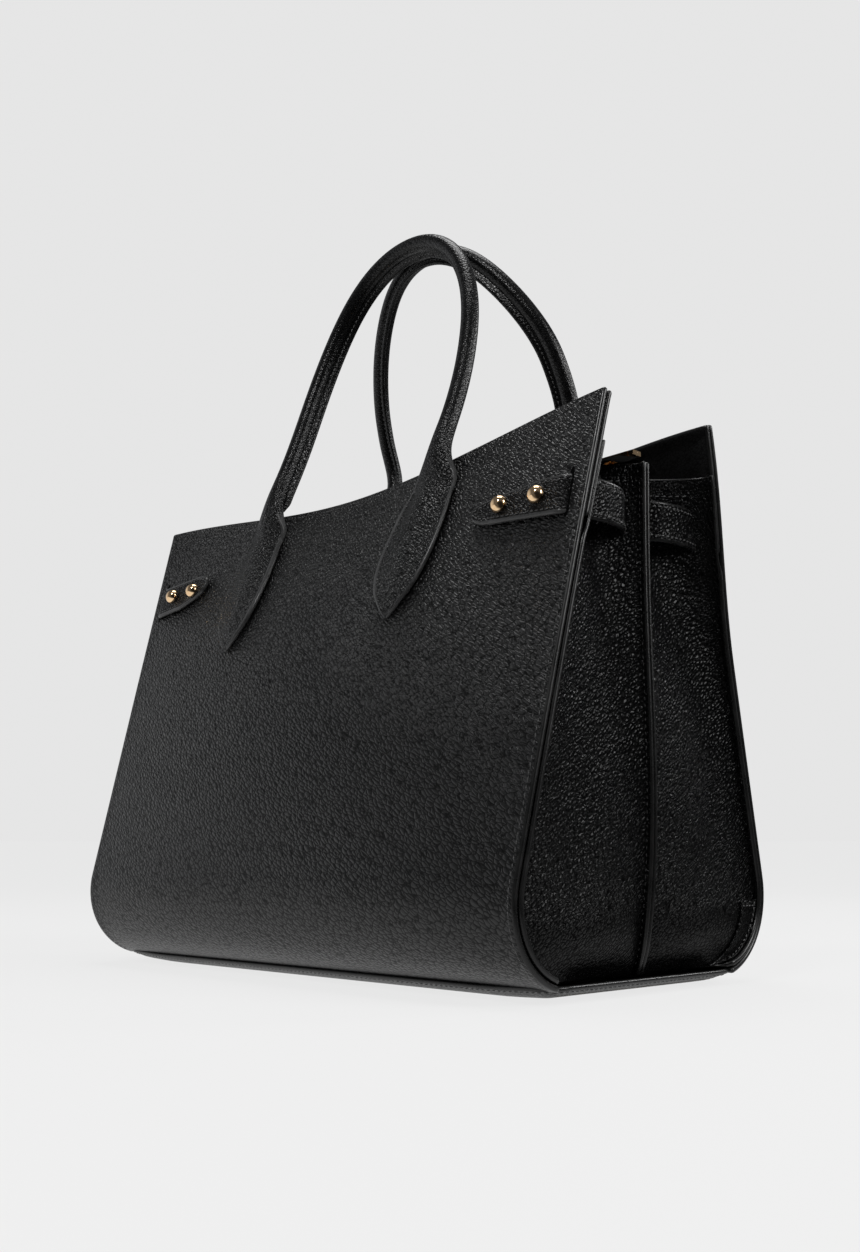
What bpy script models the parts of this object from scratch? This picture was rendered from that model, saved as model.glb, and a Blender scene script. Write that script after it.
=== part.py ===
"""Structured leather tote bag, standing closed: a Blender 4.5 script, in metres, +Z up.

X runs along the width, the front panel faces -Y, and the origin is on the floor under the middle.
The two panels lean inwards from a curled foot, the gussets fold in and meet in a fin at each end,
and a strap at each end runs through slits from the front panel to the rear one.
"""
import math

import bmesh
import bpy
import numpy as np
from mathutils import Matrix, Vector

# Form of the panels
WING_HALF_WIDTH = 0.181
WING_FLARE = 0.013
WING_HALF_DEPTH = 0.0395
WING_HEIGHT = 0.2725
WING_RISE = 0.014
SEAM_HALF_DEPTH = 0.066
SEAM_HEIGHT = 0.0055
CURL_RADIUS = 0.038
CURL_START = math.radians(16)
# How far the middle of a panel stands outside its side edges, as (share of wing height, distance)
FRONT_BELLY = ((0.02, 0.0), (0.165, 0.002), (0.404, 0.008), (0.587, 0.0102), (0.723, 0.0072), (0.767, 0.0044))
REAR_BELLY = ((0.02, 0.0), (0.165, 0.002), (0.404, 0.008), (0.587, 0.0100), (0.723, 0.0076), (0.767, 0.0056))

# Thicknesses and the clearances between neighbours
GAP = 0.0003
REST_GAP = 0.0005
PANEL_THICKNESS = 0.0020
STIFFENER_THICKNESS = 0.0007
FACING_THICKNESS = 0.0016
GUSSET_THICKNESS = 0.0016
LINING_THICKNESS = 0.0008
PATCH_THICKNESS = 0.0012

# Heights from the top edge down: zip, gussets, strap, facing and the gusset's step over it
ZIP_BELOW_EDGE = 0.0065
GUSSET_BELOW_ZIP = 0.0045
LINING_BELOW_GUSSET = 0.0035
STRAP_BELOW_GUSSET = 0.0160
STRAP_WIDTH = 0.0200
FACING_BELOW_STRAP = 0.0025
JOG_BELOW_FACING = 0.0020
JOG_HEIGHT = 0.0080

# Stiffeners and corner patches
STIFFENER_SIDE_MARGIN = 0.022
STIFFENER_END_MARGIN = 0.008
PATCH_HEIGHT = 0.058
PATCH_WIDTH = 0.0048

# Gussets; the fin's edge lies inside the panel's edge, as (share of wing height, distance)
FLANGE_WIDTH = 0.0070
FIN_WIDTH = 0.0065
FIN_INSET = ((0.02, 0.0063), (0.088, 0.0036), (0.183, 0.0011), (0.367, 0.0006), (0.66, 0.0044),
             (0.908, 0.0059))
VALLEY_DEPTH = ((0.02, 0.0), (0.183, -0.001), (0.514, 0.006), (0.734, 0.013), (0.908, 0.019))

# Base
BASE_THICKNESS = 0.0022
BASE_LIP = 0.0030
BASE_LIP_OVERHANG = 0.0035
BASE_END_OVERHANG = 0.0010
BASE_LIP_WIDTH = 0.0055
BASE_RISE_WIDTH = 0.0035
BASE_CORNER_RADIUS = 0.0080
BOARD_THICKNESS = 0.0025

# Lining bag
LINING_SIDE_GAP = 0.0050
LINING_END_MARGIN = 0.0290
LINING_CORNER_RADIUS = 0.0100

# Zip
TAPE_END_MARGIN = 0.0090
TAPE_THICKNESS = 0.0005
TAPE_WIDTH = 0.0110
TOOTH_PITCH = 0.0075
TOOTH_HALF_HEIGHT = 0.0012
TOOTH_INNER = 0.0007
TOOTH_LENGTH = 0.0024
TEETH_END_MARGIN = 0.0070
STOP_LENGTH = 0.0030
FACING_STRIP_END_MARGIN = 0.0330
FACING_STRIP_THICKNESS = 0.0010
FACING_STRIP_OVERLAP = 0.0064
FACING_STRIP_DROP = 0.0050
SLIDER_END_MARGIN = 0.0130
SLIDER_LENGTH = 0.0090
SLIDER_HALF_WIDTH = 0.0040
SLIDER_PLATE = 0.0012
SLIDER_POST = 0.0008
LUG_THICKNESS = 0.0008
LUG_RADIUS = 0.0012
PULLER_PIN_RADIUS = 0.0005
KNUCKLE_WALL = 0.0006
PULLER_THICKNESS = 0.0012
PULLER_NECK = 0.0024
PULLER_SHOULDER = 0.0042
PULLER_WIDTH = 0.0056
PULLER_LENGTH = 0.0240
PULLER_CHAMFER = 0.0016

# Side straps and their studs; distances in from the panel's edge
STRAP_THICKNESS = 0.0026
STRAP_TIP_INSET = 0.0681
STRAP_TIP_LENGTH = 0.0150
STRAP_TIP_SHARE = 0.25
STRAP_LIFT_INSET = 0.0226
STRAP_LEAN_LENGTH = 0.0160
# Plan of a strap from its lift-off to the middle of the side, as (inset, share of the panel's half depth)
STRAP_ROUTE = ((0.0146, 1.098), (0.0114, 1.046), (0.0098, 0.940), (0.0083, 0.787), (0.0071, 0.633),
               (0.0074, 0.461), (0.0096, 0.288), (0.0134, 0.173), (0.0158, 0.077), (0.0164, 0.0))
SLIT_CLEARANCE = 0.0006
STUD_INSETS = {"inner": 0.0494, "outer": 0.0266}
STUD_RADIUS = 0.0042
STUD_NECK_RADIUS = 0.0032
STUD_HEIGHT = 0.0048
POST_RADIUS = 0.0014
WASHER_RADIUS = 0.0040
WASHER_THICKNESS = 0.0010

# Handles
HANDLE_RADIUS = 0.0050
HANDLE_BORE = 0.0034
HANDLE_LIP = 0.0024
CORE_RADIUS = 0.0030
FLANGE_LENGTH = 0.0042
FLANGE_HALF_THICKNESS = 0.0013
HINGE_ABOVE_EDGE = 0.0075
HINGE_ABOVE_ARCH_FOOT = 0.0060
ARCH_RISE = 0.1646
ARCH_HALF_SPAN = 0.0712
# How far each handle leans inwards from its hinges, at quarter steps of its rise
FRONT_SWAY = (-0.0024, 0.0152, 0.0282, 0.0379, 0.0443)
REAR_SWAY = (0.0018, -0.0132, -0.0092, 0.0078, 0.0253)
HANDLE_RINGS = 24

# Leaves that carry the handles, as (drop below the hinge, half width, crown) from the point to the neck
LEAF_TIP_INSET = 0.0032
LEAF_SHAPE = ((0.0915, 0.0008, 0.0012), (0.0870, 0.0055, 0.0020), (0.0790, 0.0120, 0.0026),
              (0.0670, 0.0172, 0.0032), (0.0530, 0.0190, 0.0037), (0.0380, 0.0187, 0.0042),
              (0.0240, 0.0166, 0.0048), (0.0140, 0.0125, 0.0052))
NECK_DROP = 0.0340
NECK_LENGTH = 0.0020
# A handle can fold outwards until it hangs this far below the level of its hinges
FOLD_LIMIT = math.radians(20)

SIDES = {"front": -1, "rear": 1}
ENDS = {"right": 1, "left": -1}


# Shared curves

def smooth_curve(points, value):
    """Natural cubic spline through (input, output) points, straight beyond its ends."""
    xs = np.array([p[0] for p in points])
    ys = np.array([p[1] for p in points])
    count = len(xs)
    steps = np.diff(xs)
    matrix = np.eye(count)
    right = np.zeros(count)
    for i in range(1, count - 1):
        matrix[i, i - 1:i + 2] = steps[i - 1], 2 * (steps[i - 1] + steps[i]), steps[i]
        right[i] = 6 * ((ys[i + 1] - ys[i]) / steps[i] - (ys[i] - ys[i - 1]) / steps[i - 1])
    bend = np.linalg.solve(matrix, right)
    i = int(np.clip(np.searchsorted(xs, value) - 1, 0, count - 2))
    h = steps[i]
    if value < xs[0] or value > xs[-1]:
        end = 0 if value < xs[0] else count - 1
        slope = (ys[i + 1] - ys[i]) / h - h * (2 * bend[i] + bend[i + 1]) / 6
        if end:
            slope = (ys[i + 1] - ys[i]) / h + h * (bend[i] + 2 * bend[i + 1]) / 6
        return ys[end] + slope * (value - xs[end])
    a = (xs[i + 1] - value) / h
    b = (value - xs[i]) / h
    return a * ys[i] + b * ys[i + 1] + ((a ** 3 - a) * bend[i] + (b ** 3 - b) * bend[i + 1]) * h * h / 6


def ease(t):
    """Smooth step from 0 to 1."""
    t = min(max(t, 0.0), 1.0)
    return t * t * (3 - 2 * t)


def spaced(points, count):
    """The points of a polyline set evenly along its length."""
    points = np.array(points, float)
    along = np.concatenate([[0], np.cumsum(np.linalg.norm(np.diff(points, axis=0), axis=1))])
    wanted = np.linspace(0, along[-1], count)
    return np.stack([np.interp(wanted, along, points[:, k]) for k in range(points.shape[1])], axis=1)


def curve_through(points, count):
    """Evenly spaced points on a smooth curve through the given ones."""
    points = np.array(points, float)
    along = np.concatenate([[0], np.cumsum(np.linalg.norm(np.diff(points, axis=0), axis=1))])
    fine = []
    for value in np.linspace(0, along[-1], 12 * len(points)):
        fine.append([smooth_curve(list(zip(along, points[:, k])), value) for k in range(points.shape[1])])
    return spaced(fine, count)


# The panels' shared surface

FOOT_HALF_WIDTH = WING_HALF_WIDTH - WING_FLARE
TOP_MIDDLE_HEIGHT = WING_HEIGHT - WING_RISE
ZIP_HEIGHT = TOP_MIDDLE_HEIGHT - ZIP_BELOW_EDGE
GUSSET_TOP = ZIP_HEIGHT - GUSSET_BELOW_ZIP
LINING_TOP = GUSSET_TOP - LINING_BELOW_GUSSET
STRAP_HEIGHT = GUSSET_TOP - STRAP_BELOW_GUSSET - STRAP_WIDTH / 2
FACING_FOOT = STRAP_HEIGHT - STRAP_WIDTH / 2 - FACING_BELOW_STRAP
JOG_TOP = FACING_FOOT - JOG_BELOW_FACING
JOG_FOOT = JOG_TOP - JOG_HEIGHT
HINGE_HEIGHT = TOP_MIDDLE_HEIGHT + HINGE_ABOVE_EDGE
ARCH_FOOT = HINGE_HEIGHT - HINGE_ABOVE_ARCH_FOOT
LEAF_TOP = HINGE_HEIGHT - HANDLE_RADIUS - GAP
CURL_DEPTH = SEAM_HALF_DEPTH - CURL_RADIUS * math.sin(CURL_START)
CURL_HEIGHT = SEAM_HEIGHT + CURL_RADIUS * math.cos(CURL_START)
LEAN = (math.asin(CURL_RADIUS / math.hypot(CURL_DEPTH - WING_HALF_DEPTH, WING_HEIGHT - CURL_HEIGHT))
        + math.atan2(CURL_DEPTH - WING_HALF_DEPTH, WING_HEIGHT - CURL_HEIGHT))
CURL_LENGTH = CURL_RADIUS * (math.pi / 2 + LEAN - CURL_START)
CURL_TOP = CURL_HEIGHT + CURL_RADIUS * math.sin(LEAN)
BELLY = {-1: FRONT_BELLY, 1: REAR_BELLY}


def half_width(z):
    return FOOT_HALF_WIDTH + (WING_HALF_WIDTH - FOOT_HALF_WIDTH) * z / WING_HEIGHT


def top_height(x):
    return TOP_MIDDLE_HEIGHT + (WING_HEIGHT - TOP_MIDDLE_HEIGHT) * ease(abs(x) / WING_HALF_WIDTH)


def climb_to(z):
    """Distance up the panel from its seam to a height on its straight part."""
    return CURL_LENGTH + (z - CURL_TOP) / math.cos(LEAN)


def edge_profile(climb):
    """Half depth and height of a panel's side edge, a distance up from the seam."""
    if climb < CURL_LENGTH:
        angle = CURL_START + climb / CURL_RADIUS
        return CURL_DEPTH + CURL_RADIUS * math.sin(angle), CURL_HEIGHT - CURL_RADIUS * math.cos(angle)
    rest = climb - CURL_LENGTH
    depth = CURL_DEPTH + CURL_RADIUS * math.cos(LEAN) - rest * math.sin(LEAN)
    return depth, CURL_TOP + rest * math.cos(LEAN)


def panel_point(side, x, climb):
    depth, z = edge_profile(climb)
    across = 1 - min((x / half_width(z)) ** 2, 1.2)
    return Vector((x, side * (depth + smooth_curve(BELLY[side], z / WING_HEIGHT) * across), z))


def panel_normal(side, x, climb):
    """Outward direction of a panel's outer face."""
    step = 0.0005
    along = panel_point(side, x + step, climb) - panel_point(side, x - step, climb)
    up = panel_point(side, x, climb + step) - panel_point(side, x, climb - step)
    return (-side * along.cross(up)).normalized()


def inside_panel(side, x, climb, depth):
    """A point at a depth behind a panel's outer face; a negative depth is in front of it."""
    return panel_point(side, x, climb) - depth * panel_normal(side, x, climb)


def inner_depth(side, x, z, inset):
    """Half depth of a layer behind the panel at a height above the curl."""
    climb = climb_to(z)
    for _ in range(4):
        point = inside_panel(side, x, climb, inset)
        climb += z - point.z
    return side * point.y


STIFFENER_INSET = PANEL_THICKNESS + GAP
FACING_INSET = STIFFENER_INSET + STIFFENER_THICKNESS + GAP
FLANGE_INSET_LOW = FACING_INSET + GUSSET_THICKNESS / 2
FLANGE_INSET_HIGH = FACING_INSET + FACING_THICKNESS + GAP + GUSSET_THICKNESS / 2
PATCH_INSET = FACING_INSET + GUSSET_THICKNESS + GAP
WASHER_INSET = FACING_INSET + FACING_THICKNESS + GAP
LINING_INSET = WASHER_INSET + WASHER_THICKNESS + 2 * GAP
BOARD_FOOT = BASE_THICKNESS + GAP
FLOOR_OF_WALLS = BOARD_FOOT + BOARD_THICKNESS + GAP
STRAP_LAY = -(REST_GAP + STRAP_THICKNESS / 2)


# Making objects

def clear_scene():
    for item in list(bpy.data.objects):
        bpy.data.objects.remove(item, do_unlink=True)


def new_collection(name):
    collection = bpy.data.collections.new(name)
    bpy.context.scene.collection.children.link(collection)
    return collection


def material(name, colour, roughness, metallic=0.0):
    result = bpy.data.materials.new(name)
    result.use_nodes = True
    shader = result.node_tree.nodes["Principled BSDF"]
    shader.inputs["Base Color"].default_value = (*colour, 1.0)
    shader.inputs["Roughness"].default_value = roughness
    shader.inputs["Metallic"].default_value = metallic
    return result


def add_object(name, mesh, look=None, collection=None):
    item = bpy.data.objects.new(name, mesh)
    (collection or BAG).objects.link(item)
    if look:
        mesh.materials.clear()
        mesh.materials.append(look)
    return item


def mesh_from(name, points, faces):
    mesh = bpy.data.meshes.new(name)
    mesh.from_pydata([tuple(p) for p in points], [], faces)
    mesh.validate()
    return mesh


def smooth_shading(mesh, angle=40):
    mesh.shade_smooth()
    mesh.set_sharp_from_angle(angle=math.radians(angle))


def evaluated_mesh(item):
    """The item's mesh with its modifiers applied; the item itself is removed."""
    bpy.context.view_layer.update()
    graph = bpy.context.evaluated_depsgraph_get()
    mesh = bpy.data.meshes.new_from_object(item.evaluated_get(graph))
    mesh.transform(item.matrix_world)
    bpy.data.objects.remove(item, do_unlink=True)
    return mesh


def add_sheet(name, rows, thickness, look, flip=False, centred=False):
    """A sheet of even thickness on a grid of points; it grows away from the grid's front.

    Its faces are triangles with one diagonal, so that neighbouring layers stay parallel.
    """
    wide = len(rows[0])
    points = [p for row in rows for p in row]
    faces = []
    for r in range(len(rows) - 1):
        for c in range(wide - 1):
            a, b, d = r * wide + c, r * wide + c + 1, (r + 1) * wide + c
            for face in ([a, b, d + 1], [a, d + 1, d]):
                faces.append(face[::-1] if flip else face)
    item = add_object(name, mesh_from(name, points, faces), look)
    smooth_shading(item.data)
    solid = item.modifiers.new("thickness", "SOLIDIFY")
    solid.thickness = thickness
    solid.offset = 0 if centred else -1
    solid.use_even_offset = True
    return item


def ring_faces(ring_count, size, closed=True):
    faces = []
    for r in range(ring_count - 1):
        for c in range(size if closed else size - 1):
            n = (c + 1) % size
            faces.append([r * size + c, r * size + n, (r + 1) * size + n, (r + 1) * size + c])
    return faces


def loft(name, rings, look, caps=(True, True), collection=None):
    """A closed body through rings of equal size, with flat or slightly bent end caps."""
    size = len(rings[0])
    faces = ring_faces(len(rings), size)
    if caps[0]:
        faces.append(list(range(size))[::-1])
    if caps[1]:
        faces.append([(len(rings) - 1) * size + c for c in range(size)])
    mesh = mesh_from(name, [p for ring in rings for p in ring], faces)
    face_outwards(mesh)
    item = add_object(name, mesh, look, collection)
    smooth_shading(mesh)
    return item


def face_outwards(mesh):
    work = bmesh.new()
    work.from_mesh(mesh)
    bmesh.ops.recalc_face_normals(work, faces=work.faces)
    if work.calc_volume(signed=True) < 0:
        bmesh.ops.reverse_faces(work, faces=work.faces)
    work.to_mesh(mesh)
    work.free()


def pipe(name, outer, inner, look):
    """An open-ended pipe between two sets of rings of equal size."""
    size = len(outer[0])
    count = len(outer)
    points = [p for ring in outer for p in ring] + [p for ring in inner for p in ring]
    shift = count * size
    faces = ring_faces(count, size)
    faces += [[shift + i for i in face][::-1] for face in ring_faces(count, size)]
    for first in (0, (count - 1) * size):
        for c in range(size):
            n = (c + 1) % size
            faces.append([first + c, first + n, shift + first + n, shift + first + c])
    mesh = mesh_from(name, points, faces)
    face_outwards(mesh)
    item = add_object(name, mesh, look)
    smooth_shading(mesh, 50)
    return item


def box_mesh(low, high):
    work = bmesh.new()
    bmesh.ops.create_cube(work, size=1.0)
    low = Vector(low)
    high = Vector(high)
    for v in work.verts:
        v.co = Vector((low[k] + (v.co[k] + 0.5) * (high[k] - low[k]) for k in range(3)))
    mesh = bpy.data.meshes.new("box")
    work.to_mesh(mesh)
    work.free()
    return mesh


def cylinder_mesh(radius, low, high, segments=16):
    """A cylinder along Z from low to high."""
    work = bmesh.new()
    bmesh.ops.create_cone(work, cap_ends=True, segments=segments, radius1=radius, radius2=radius,
                          depth=high - low)
    bmesh.ops.translate(work, verts=work.verts, vec=(0, 0, (low + high) / 2))
    mesh = bpy.data.meshes.new("cylinder")
    work.to_mesh(mesh)
    work.free()
    return mesh


def turned_mesh(profile, steps=16):
    """A body turned about Z; its profile runs down the outside, top to bottom."""
    mesh = bpy.data.meshes.new("profile")
    mesh.from_pydata([(r, 0, z) for r, z in profile], [(i, i + 1) for i in range(len(profile) - 1)], [])
    item = add_object("profile", mesh)
    screw = item.modifiers.new("turn", "SCREW")
    screw.steps = steps
    screw.render_steps = steps
    screw.use_merge_vertices = True
    screw.merge_threshold = 0.00001
    return evaluated_mesh(item)


def grouped(name, pieces, look, collection=None):
    """One object that holds a copy of each mesh, placed by its matrix."""
    work = bmesh.new()
    for mesh, matrix in pieces:
        before = len(work.verts)
        work.from_mesh(mesh)
        work.verts.ensure_lookup_table()
        for v in work.verts[before:]:
            v.co = matrix @ v.co
    joined = bpy.data.meshes.new(name)
    work.to_mesh(joined)
    work.free()
    item = add_object(name, joined, look, collection)
    smooth_shading(joined)
    return item


def join_to(item, other):
    union = item.modifiers.new("join", "BOOLEAN")
    union.operation = "UNION"
    union.solver = "EXACT"
    union.object = other


def cut(item, *cutters):
    for cutter in cutters:
        boolean = item.modifiers.new("cut", "BOOLEAN")
        boolean.operation = "DIFFERENCE"
        boolean.solver = "EXACT"
        boolean.object = cutter


def as_cutter(item):
    item.hide_render = True
    item.display_type = "WIRE"
    return item


def set_origin(item, point):
    item.data.transform(Matrix.Translation(-Vector(point)))
    item.location = point


def outward_frame(point, normal):
    """A matrix that stands a piece on a point with its Z along the normal."""
    return Matrix.Translation(point) @ Vector((0, 0, 1)).rotation_difference(normal).to_matrix().to_4x4()


# Panels, stiffeners, facings and patches

def panel_shares():
    """Shared columns of the panel's layers, as shares of its half width, closer under the tabs."""
    stiff = 1 - STIFFENER_SIDE_MARGIN / WING_HALF_WIDTH
    inner = [stiff * step for step in (0.25, 0.5, 0.7, 0.85, 1.0)]
    return [-1.0] + [-share for share in reversed(inner)] + [0.0] + inner + [1.0]


def curl_climbs():
    step = (CURL_LENGTH - STIFFENER_END_MARGIN) / 4
    return [0.0] + [STIFFENER_END_MARGIN + step * i for i in range(5)]


def panel_climbs(x):
    """Shared rows of the panel's layers: curl, wall, and wing up to the shaped top edge."""
    facing = climb_to(FACING_FOOT)
    high = climb_to(top_height(x))
    wall = [CURL_LENGTH + (facing - CURL_LENGTH) * i / 5 for i in range(1, 6)]
    wing = [facing + (high - STIFFENER_END_MARGIN - facing) * i / 3 for i in range(1, 4)]
    return curl_climbs() + wall + wing + [high]


FACING_ROW = len(curl_climbs()) + 4


def layer_rows(side, inset, first_row=0, last_row=None, margin=0):
    """Grid of a layer behind a panel's outer face, on the shared rows and columns."""
    shares = panel_shares()
    shares = shares[margin:len(shares) - margin]
    columns = []
    for share in shares:
        climbs = panel_climbs(share * WING_HALF_WIDTH)[first_row:last_row]
        columns.append([inside_panel(side, share * half_width(edge_profile(climb)[1]), climb, inset)
                        for climb in climbs])
    return [list(row) for row in zip(*columns)]


def make_panels():
    for place, side in SIDES.items():
        flip = side > 0
        panel = add_sheet(place + "_panel", layer_rows(side, 0), PANEL_THICKNESS, LEATHER, flip)
        cut(panel, *HOLES[side], *SLITS[side])
        stiffener = add_sheet(place + "_stiffener", layer_rows(side, STIFFENER_INSET, 1, -1, 1),
                              STIFFENER_THICKNESS, BOARD, flip)
        cut(stiffener, *HOLES[side])
        facing = add_sheet(place + "_facing", layer_rows(side, FACING_INSET, FACING_ROW),
                           FACING_THICKNESS, LEATHER, flip)
        cut(facing, *HOLES[side], *SLITS[side])
        for end_name, end in ENDS.items():
            rows = []
            for climb in curl_climbs() + [climb_to(PATCH_HEIGHT)]:
                width = half_width(edge_profile(climb)[1])
                rows.append([inside_panel(side, end * x, climb, PATCH_INSET)
                             for x in (width, width - PATCH_WIDTH)])
            add_sheet(place + "_" + end_name + "_corner_patch", rows, PATCH_THICKNESS, LEATHER,
                      flip=(end * side) < 0)


# Gussets

def fin_edge(z):
    return half_width(z) - smooth_curve(FIN_INSET, z / WING_HEIGHT)


def gusset_rows(side, end):
    """Grid of half a gusset: flange along the rim, folded wall, and flange along the fin."""
    jog = climb_to(JOG_FOOT)
    climbs = curl_climbs() + [CURL_LENGTH + (jog - CURL_LENGTH) * i / 4 for i in range(1, 5)]
    climbs += [climb_to(JOG_TOP), climb_to(GUSSET_TOP)]
    meet = side * (GAP + GUSSET_THICKNESS) / 2
    grid = []
    for climb in climbs:
        z = edge_profile(climb)[1]
        high = ease((z - JOG_FOOT) / (JOG_TOP - JOG_FOOT))
        inset = FLANGE_INSET_LOW + (FLANGE_INSET_HIGH - FLANGE_INSET_LOW) * high
        rim = inside_panel(side, half_width(z), climb, inset)
        fold = inside_panel(side, half_width(z) - FLANGE_WIDTH, climb, inset)
        if climb == 0:
            fold.z = FLOOR_OF_WALLS + GUSSET_THICKNESS / 2 + GAP
            fold.y -= side * (PANEL_THICKNESS + GUSSET_THICKNESS)
        fin = fin_edge(fold.z)
        depth = smooth_curve(VALLEY_DEPTH, fold.z / WING_HEIGHT)
        row = [rim]
        for i in range(7):
            share = i / 6
            x = fold.x + (fin - FIN_WIDTH - fold.x) * share - depth * (1 - abs(2 * share - 1) ** 1.25)
            row.append(Vector((x, fold.y + (meet - fold.y) * share, fold.z)))
        row.append(Vector((fin, meet, fold.z)))
        grid.append([Vector((end * p.x, p.y, p.z)) for p in row])
    return grid


def make_gussets():
    for end_name, end in ENDS.items():
        for place, side in SIDES.items():
            gusset = add_sheet(end_name + "_" + place + "_gusset", gusset_rows(side, end),
                               GUSSET_THICKNESS, LEATHER, flip=(end * side) > 0, centred=True)
            cut(gusset, STRAP_CUTTERS[end])


# Base and board

def rounded_rectangle(half_x, half_y, radius, z, corner_steps=4, edge_steps=6):
    """Points round a rectangle with round corners, anticlockwise from above."""
    points = []
    for k, (sx, sy) in enumerate(((1, 1), (-1, 1), (-1, -1), (1, -1))):
        for i in range(corner_steps + 1):
            angle = math.pi / 2 * (k + i / corner_steps)
            points.append(Vector((sx * (half_x - radius) + radius * math.cos(angle),
                                  sy * (half_y - radius) + radius * math.sin(angle), z)))
        last = points[-1]
        following = ((-1, 1), (-1, -1), (1, -1), (1, 1))[k]
        angle = math.pi / 2 * (k + 1)
        ahead = Vector((following[0] * (half_x - radius) + radius * math.cos(angle),
                        following[1] * (half_y - radius) + radius * math.sin(angle), z))
        points += [last.lerp(ahead, i / edge_steps) for i in range(1, edge_steps)]
    return points


def make_base():
    edge_x = FOOT_HALF_WIDTH + BASE_END_OVERHANG
    edge_y = SEAM_HALF_DEPTH + BASE_LIP_OVERHANG
    rings = []
    rise = BASE_RISE_WIDTH
    for inset, z in ((0, BASE_LIP), (BASE_LIP_WIDTH, BASE_LIP), (BASE_LIP_WIDTH + rise / 2, BASE_LIP / 2),
                     (BASE_LIP_WIDTH + rise, 0)):
        rings.append(rounded_rectangle(edge_x - inset, edge_y - inset,
                                       max(BASE_CORNER_RADIUS - inset, BASE_CORNER_RADIUS / 4), z, 3, 4))
    size = len(rings[0])
    faces = ring_faces(len(rings), size)
    faces.append([(len(rings) - 1) * size + c for c in range(size)])
    mesh = mesh_from("base_panel", [p for ring in rings for p in ring], [f[::-1] for f in faces])
    base = add_object("base_panel", mesh, LEATHER)
    solid = base.modifiers.new("thickness", "SOLIDIFY")
    solid.thickness = BASE_THICKNESS
    solid.offset = -1
    solid.use_even_offset = True
    board_margin = BASE_LIP_WIDTH + BASE_RISE_WIDTH + 2 * GAP
    rings = [rounded_rectangle(edge_x - board_margin, edge_y - board_margin, BASE_CORNER_RADIUS / 2,
                               BOARD_FOOT + level, 3, 1) for level in (0, BOARD_THICKNESS)]
    loft("base_board", rings, BOARD)


# Lining bag

def lining_depth(side, x, z):
    if z > CURL_TOP:
        return inner_depth(side, x, z, LINING_INSET)
    inner = CURL_RADIUS - LINING_INSET
    drop = min(max((CURL_HEIGHT - z) / inner, 0), 1)
    return CURL_DEPTH + inner * math.sqrt(1 - drop * drop)


def make_lining():
    inner = CURL_RADIUS - LINING_INSET
    levels = [FLOOR_OF_WALLS] + [CURL_HEIGHT - inner * share for share in (0.95, 0.72, 0.38, 0.0)]
    levels += [CURL_HEIGHT + (LINING_TOP - CURL_HEIGHT) * i / 5 for i in range(1, 6)]
    rings = []
    for level in levels:
        valley = (half_width(level) - FLANGE_WIDTH + fin_edge(level) - FIN_WIDTH) / 2
        depth = smooth_curve(VALLEY_DEPTH, level / WING_HEIGHT)
        half_x = min(WING_HALF_WIDTH - LINING_END_MARGIN, valley - depth - LINING_SIDE_GAP)
        ring = []
        for p in rounded_rectangle(half_x, SEAM_HALF_DEPTH, LINING_CORNER_RADIUS, level, 2, 5):
            side = 1 if p.y > 0 else -1
            depth = lining_depth(side, p.x, level)
            if level == FLOOR_OF_WALLS:
                depth = CURL_DEPTH - LINING_INSET
            ring.append(Vector((p.x, p.y / SEAM_HALF_DEPTH * depth, level)))
        rings.append(ring)
    size = len(rings[0])
    faces = [list(range(size))[::-1]] + ring_faces(len(rings), size)
    lining = add_object("lining", mesh_from("lining", [p for ring in rings for p in ring], faces), LINING)
    smooth_shading(lining.data)
    solid = lining.modifiers.new("thickness", "SOLIDIFY")
    solid.thickness = LINING_THICKNESS
    solid.offset = -1
    solid.use_even_offset = True


# Zip

TAPE_HALF_LENGTH = WING_HALF_WIDTH - TAPE_END_MARGIN
TEETH_HALF_LENGTH = TAPE_HALF_LENGTH - TEETH_END_MARGIN
TOOTH_OUTER = TOOTH_INNER + TOOTH_LENGTH
TAPE_EDGE = TOOTH_OUTER + GAP
SLIDER_PLACE = -(TEETH_HALF_LENGTH - SLIDER_END_MARGIN)


def comb(name, side):
    """A row of zip teeth: a back strip with square teeth that point to the middle."""
    outline = [(-TEETH_HALF_LENGTH, side * TOOTH_OUTER)]
    count = int(2 * TEETH_HALF_LENGTH / TOOTH_PITCH)
    root = side * (TOOTH_INNER + TOOTH_OUTER) / 2
    start = -count * TOOTH_PITCH / 2
    for i in range(count):
        left = start + i * TOOTH_PITCH + (TOOTH_PITCH / 4 if side > 0 else 0)
        for x, y in ((left, root), (left, side * TOOTH_INNER), (left + TOOTH_PITCH / 2, side * TOOTH_INNER),
                     (left + TOOTH_PITCH / 2, root)):
            outline.append((min(max(x, -TEETH_HALF_LENGTH), TEETH_HALF_LENGTH), y))
    outline.append((TEETH_HALF_LENGTH, root))
    outline.append((TEETH_HALF_LENGTH, side * TOOTH_OUTER))
    kept = []
    for p in outline:
        if not kept or math.dist(kept[-1], p) > 1e-6:
            kept.append(p)
    curve = bpy.data.curves.new(name, "CURVE")
    curve.dimensions = "2D"
    curve.fill_mode = "BOTH"
    curve.extrude = TOOTH_HALF_HEIGHT
    line = curve.splines.new("POLY")
    line.points.add(len(kept) - 1)
    for point, (x, y) in zip(line.points, kept):
        point.co = (x, y, 0, 1)
    line.use_cyclic_u = True
    item = bpy.data.objects.new(name, curve)
    BAG.objects.link(item)
    item.location.z = ZIP_HEIGHT
    mesh = evaluated_mesh(item)
    work = bmesh.new()
    work.from_mesh(mesh)
    bmesh.ops.remove_doubles(work, verts=work.verts, dist=0.00001)
    bmesh.ops.recalc_face_normals(work, faces=work.faces)
    work.to_mesh(mesh)
    work.free()
    add_object(name, mesh, GOLD)


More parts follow.
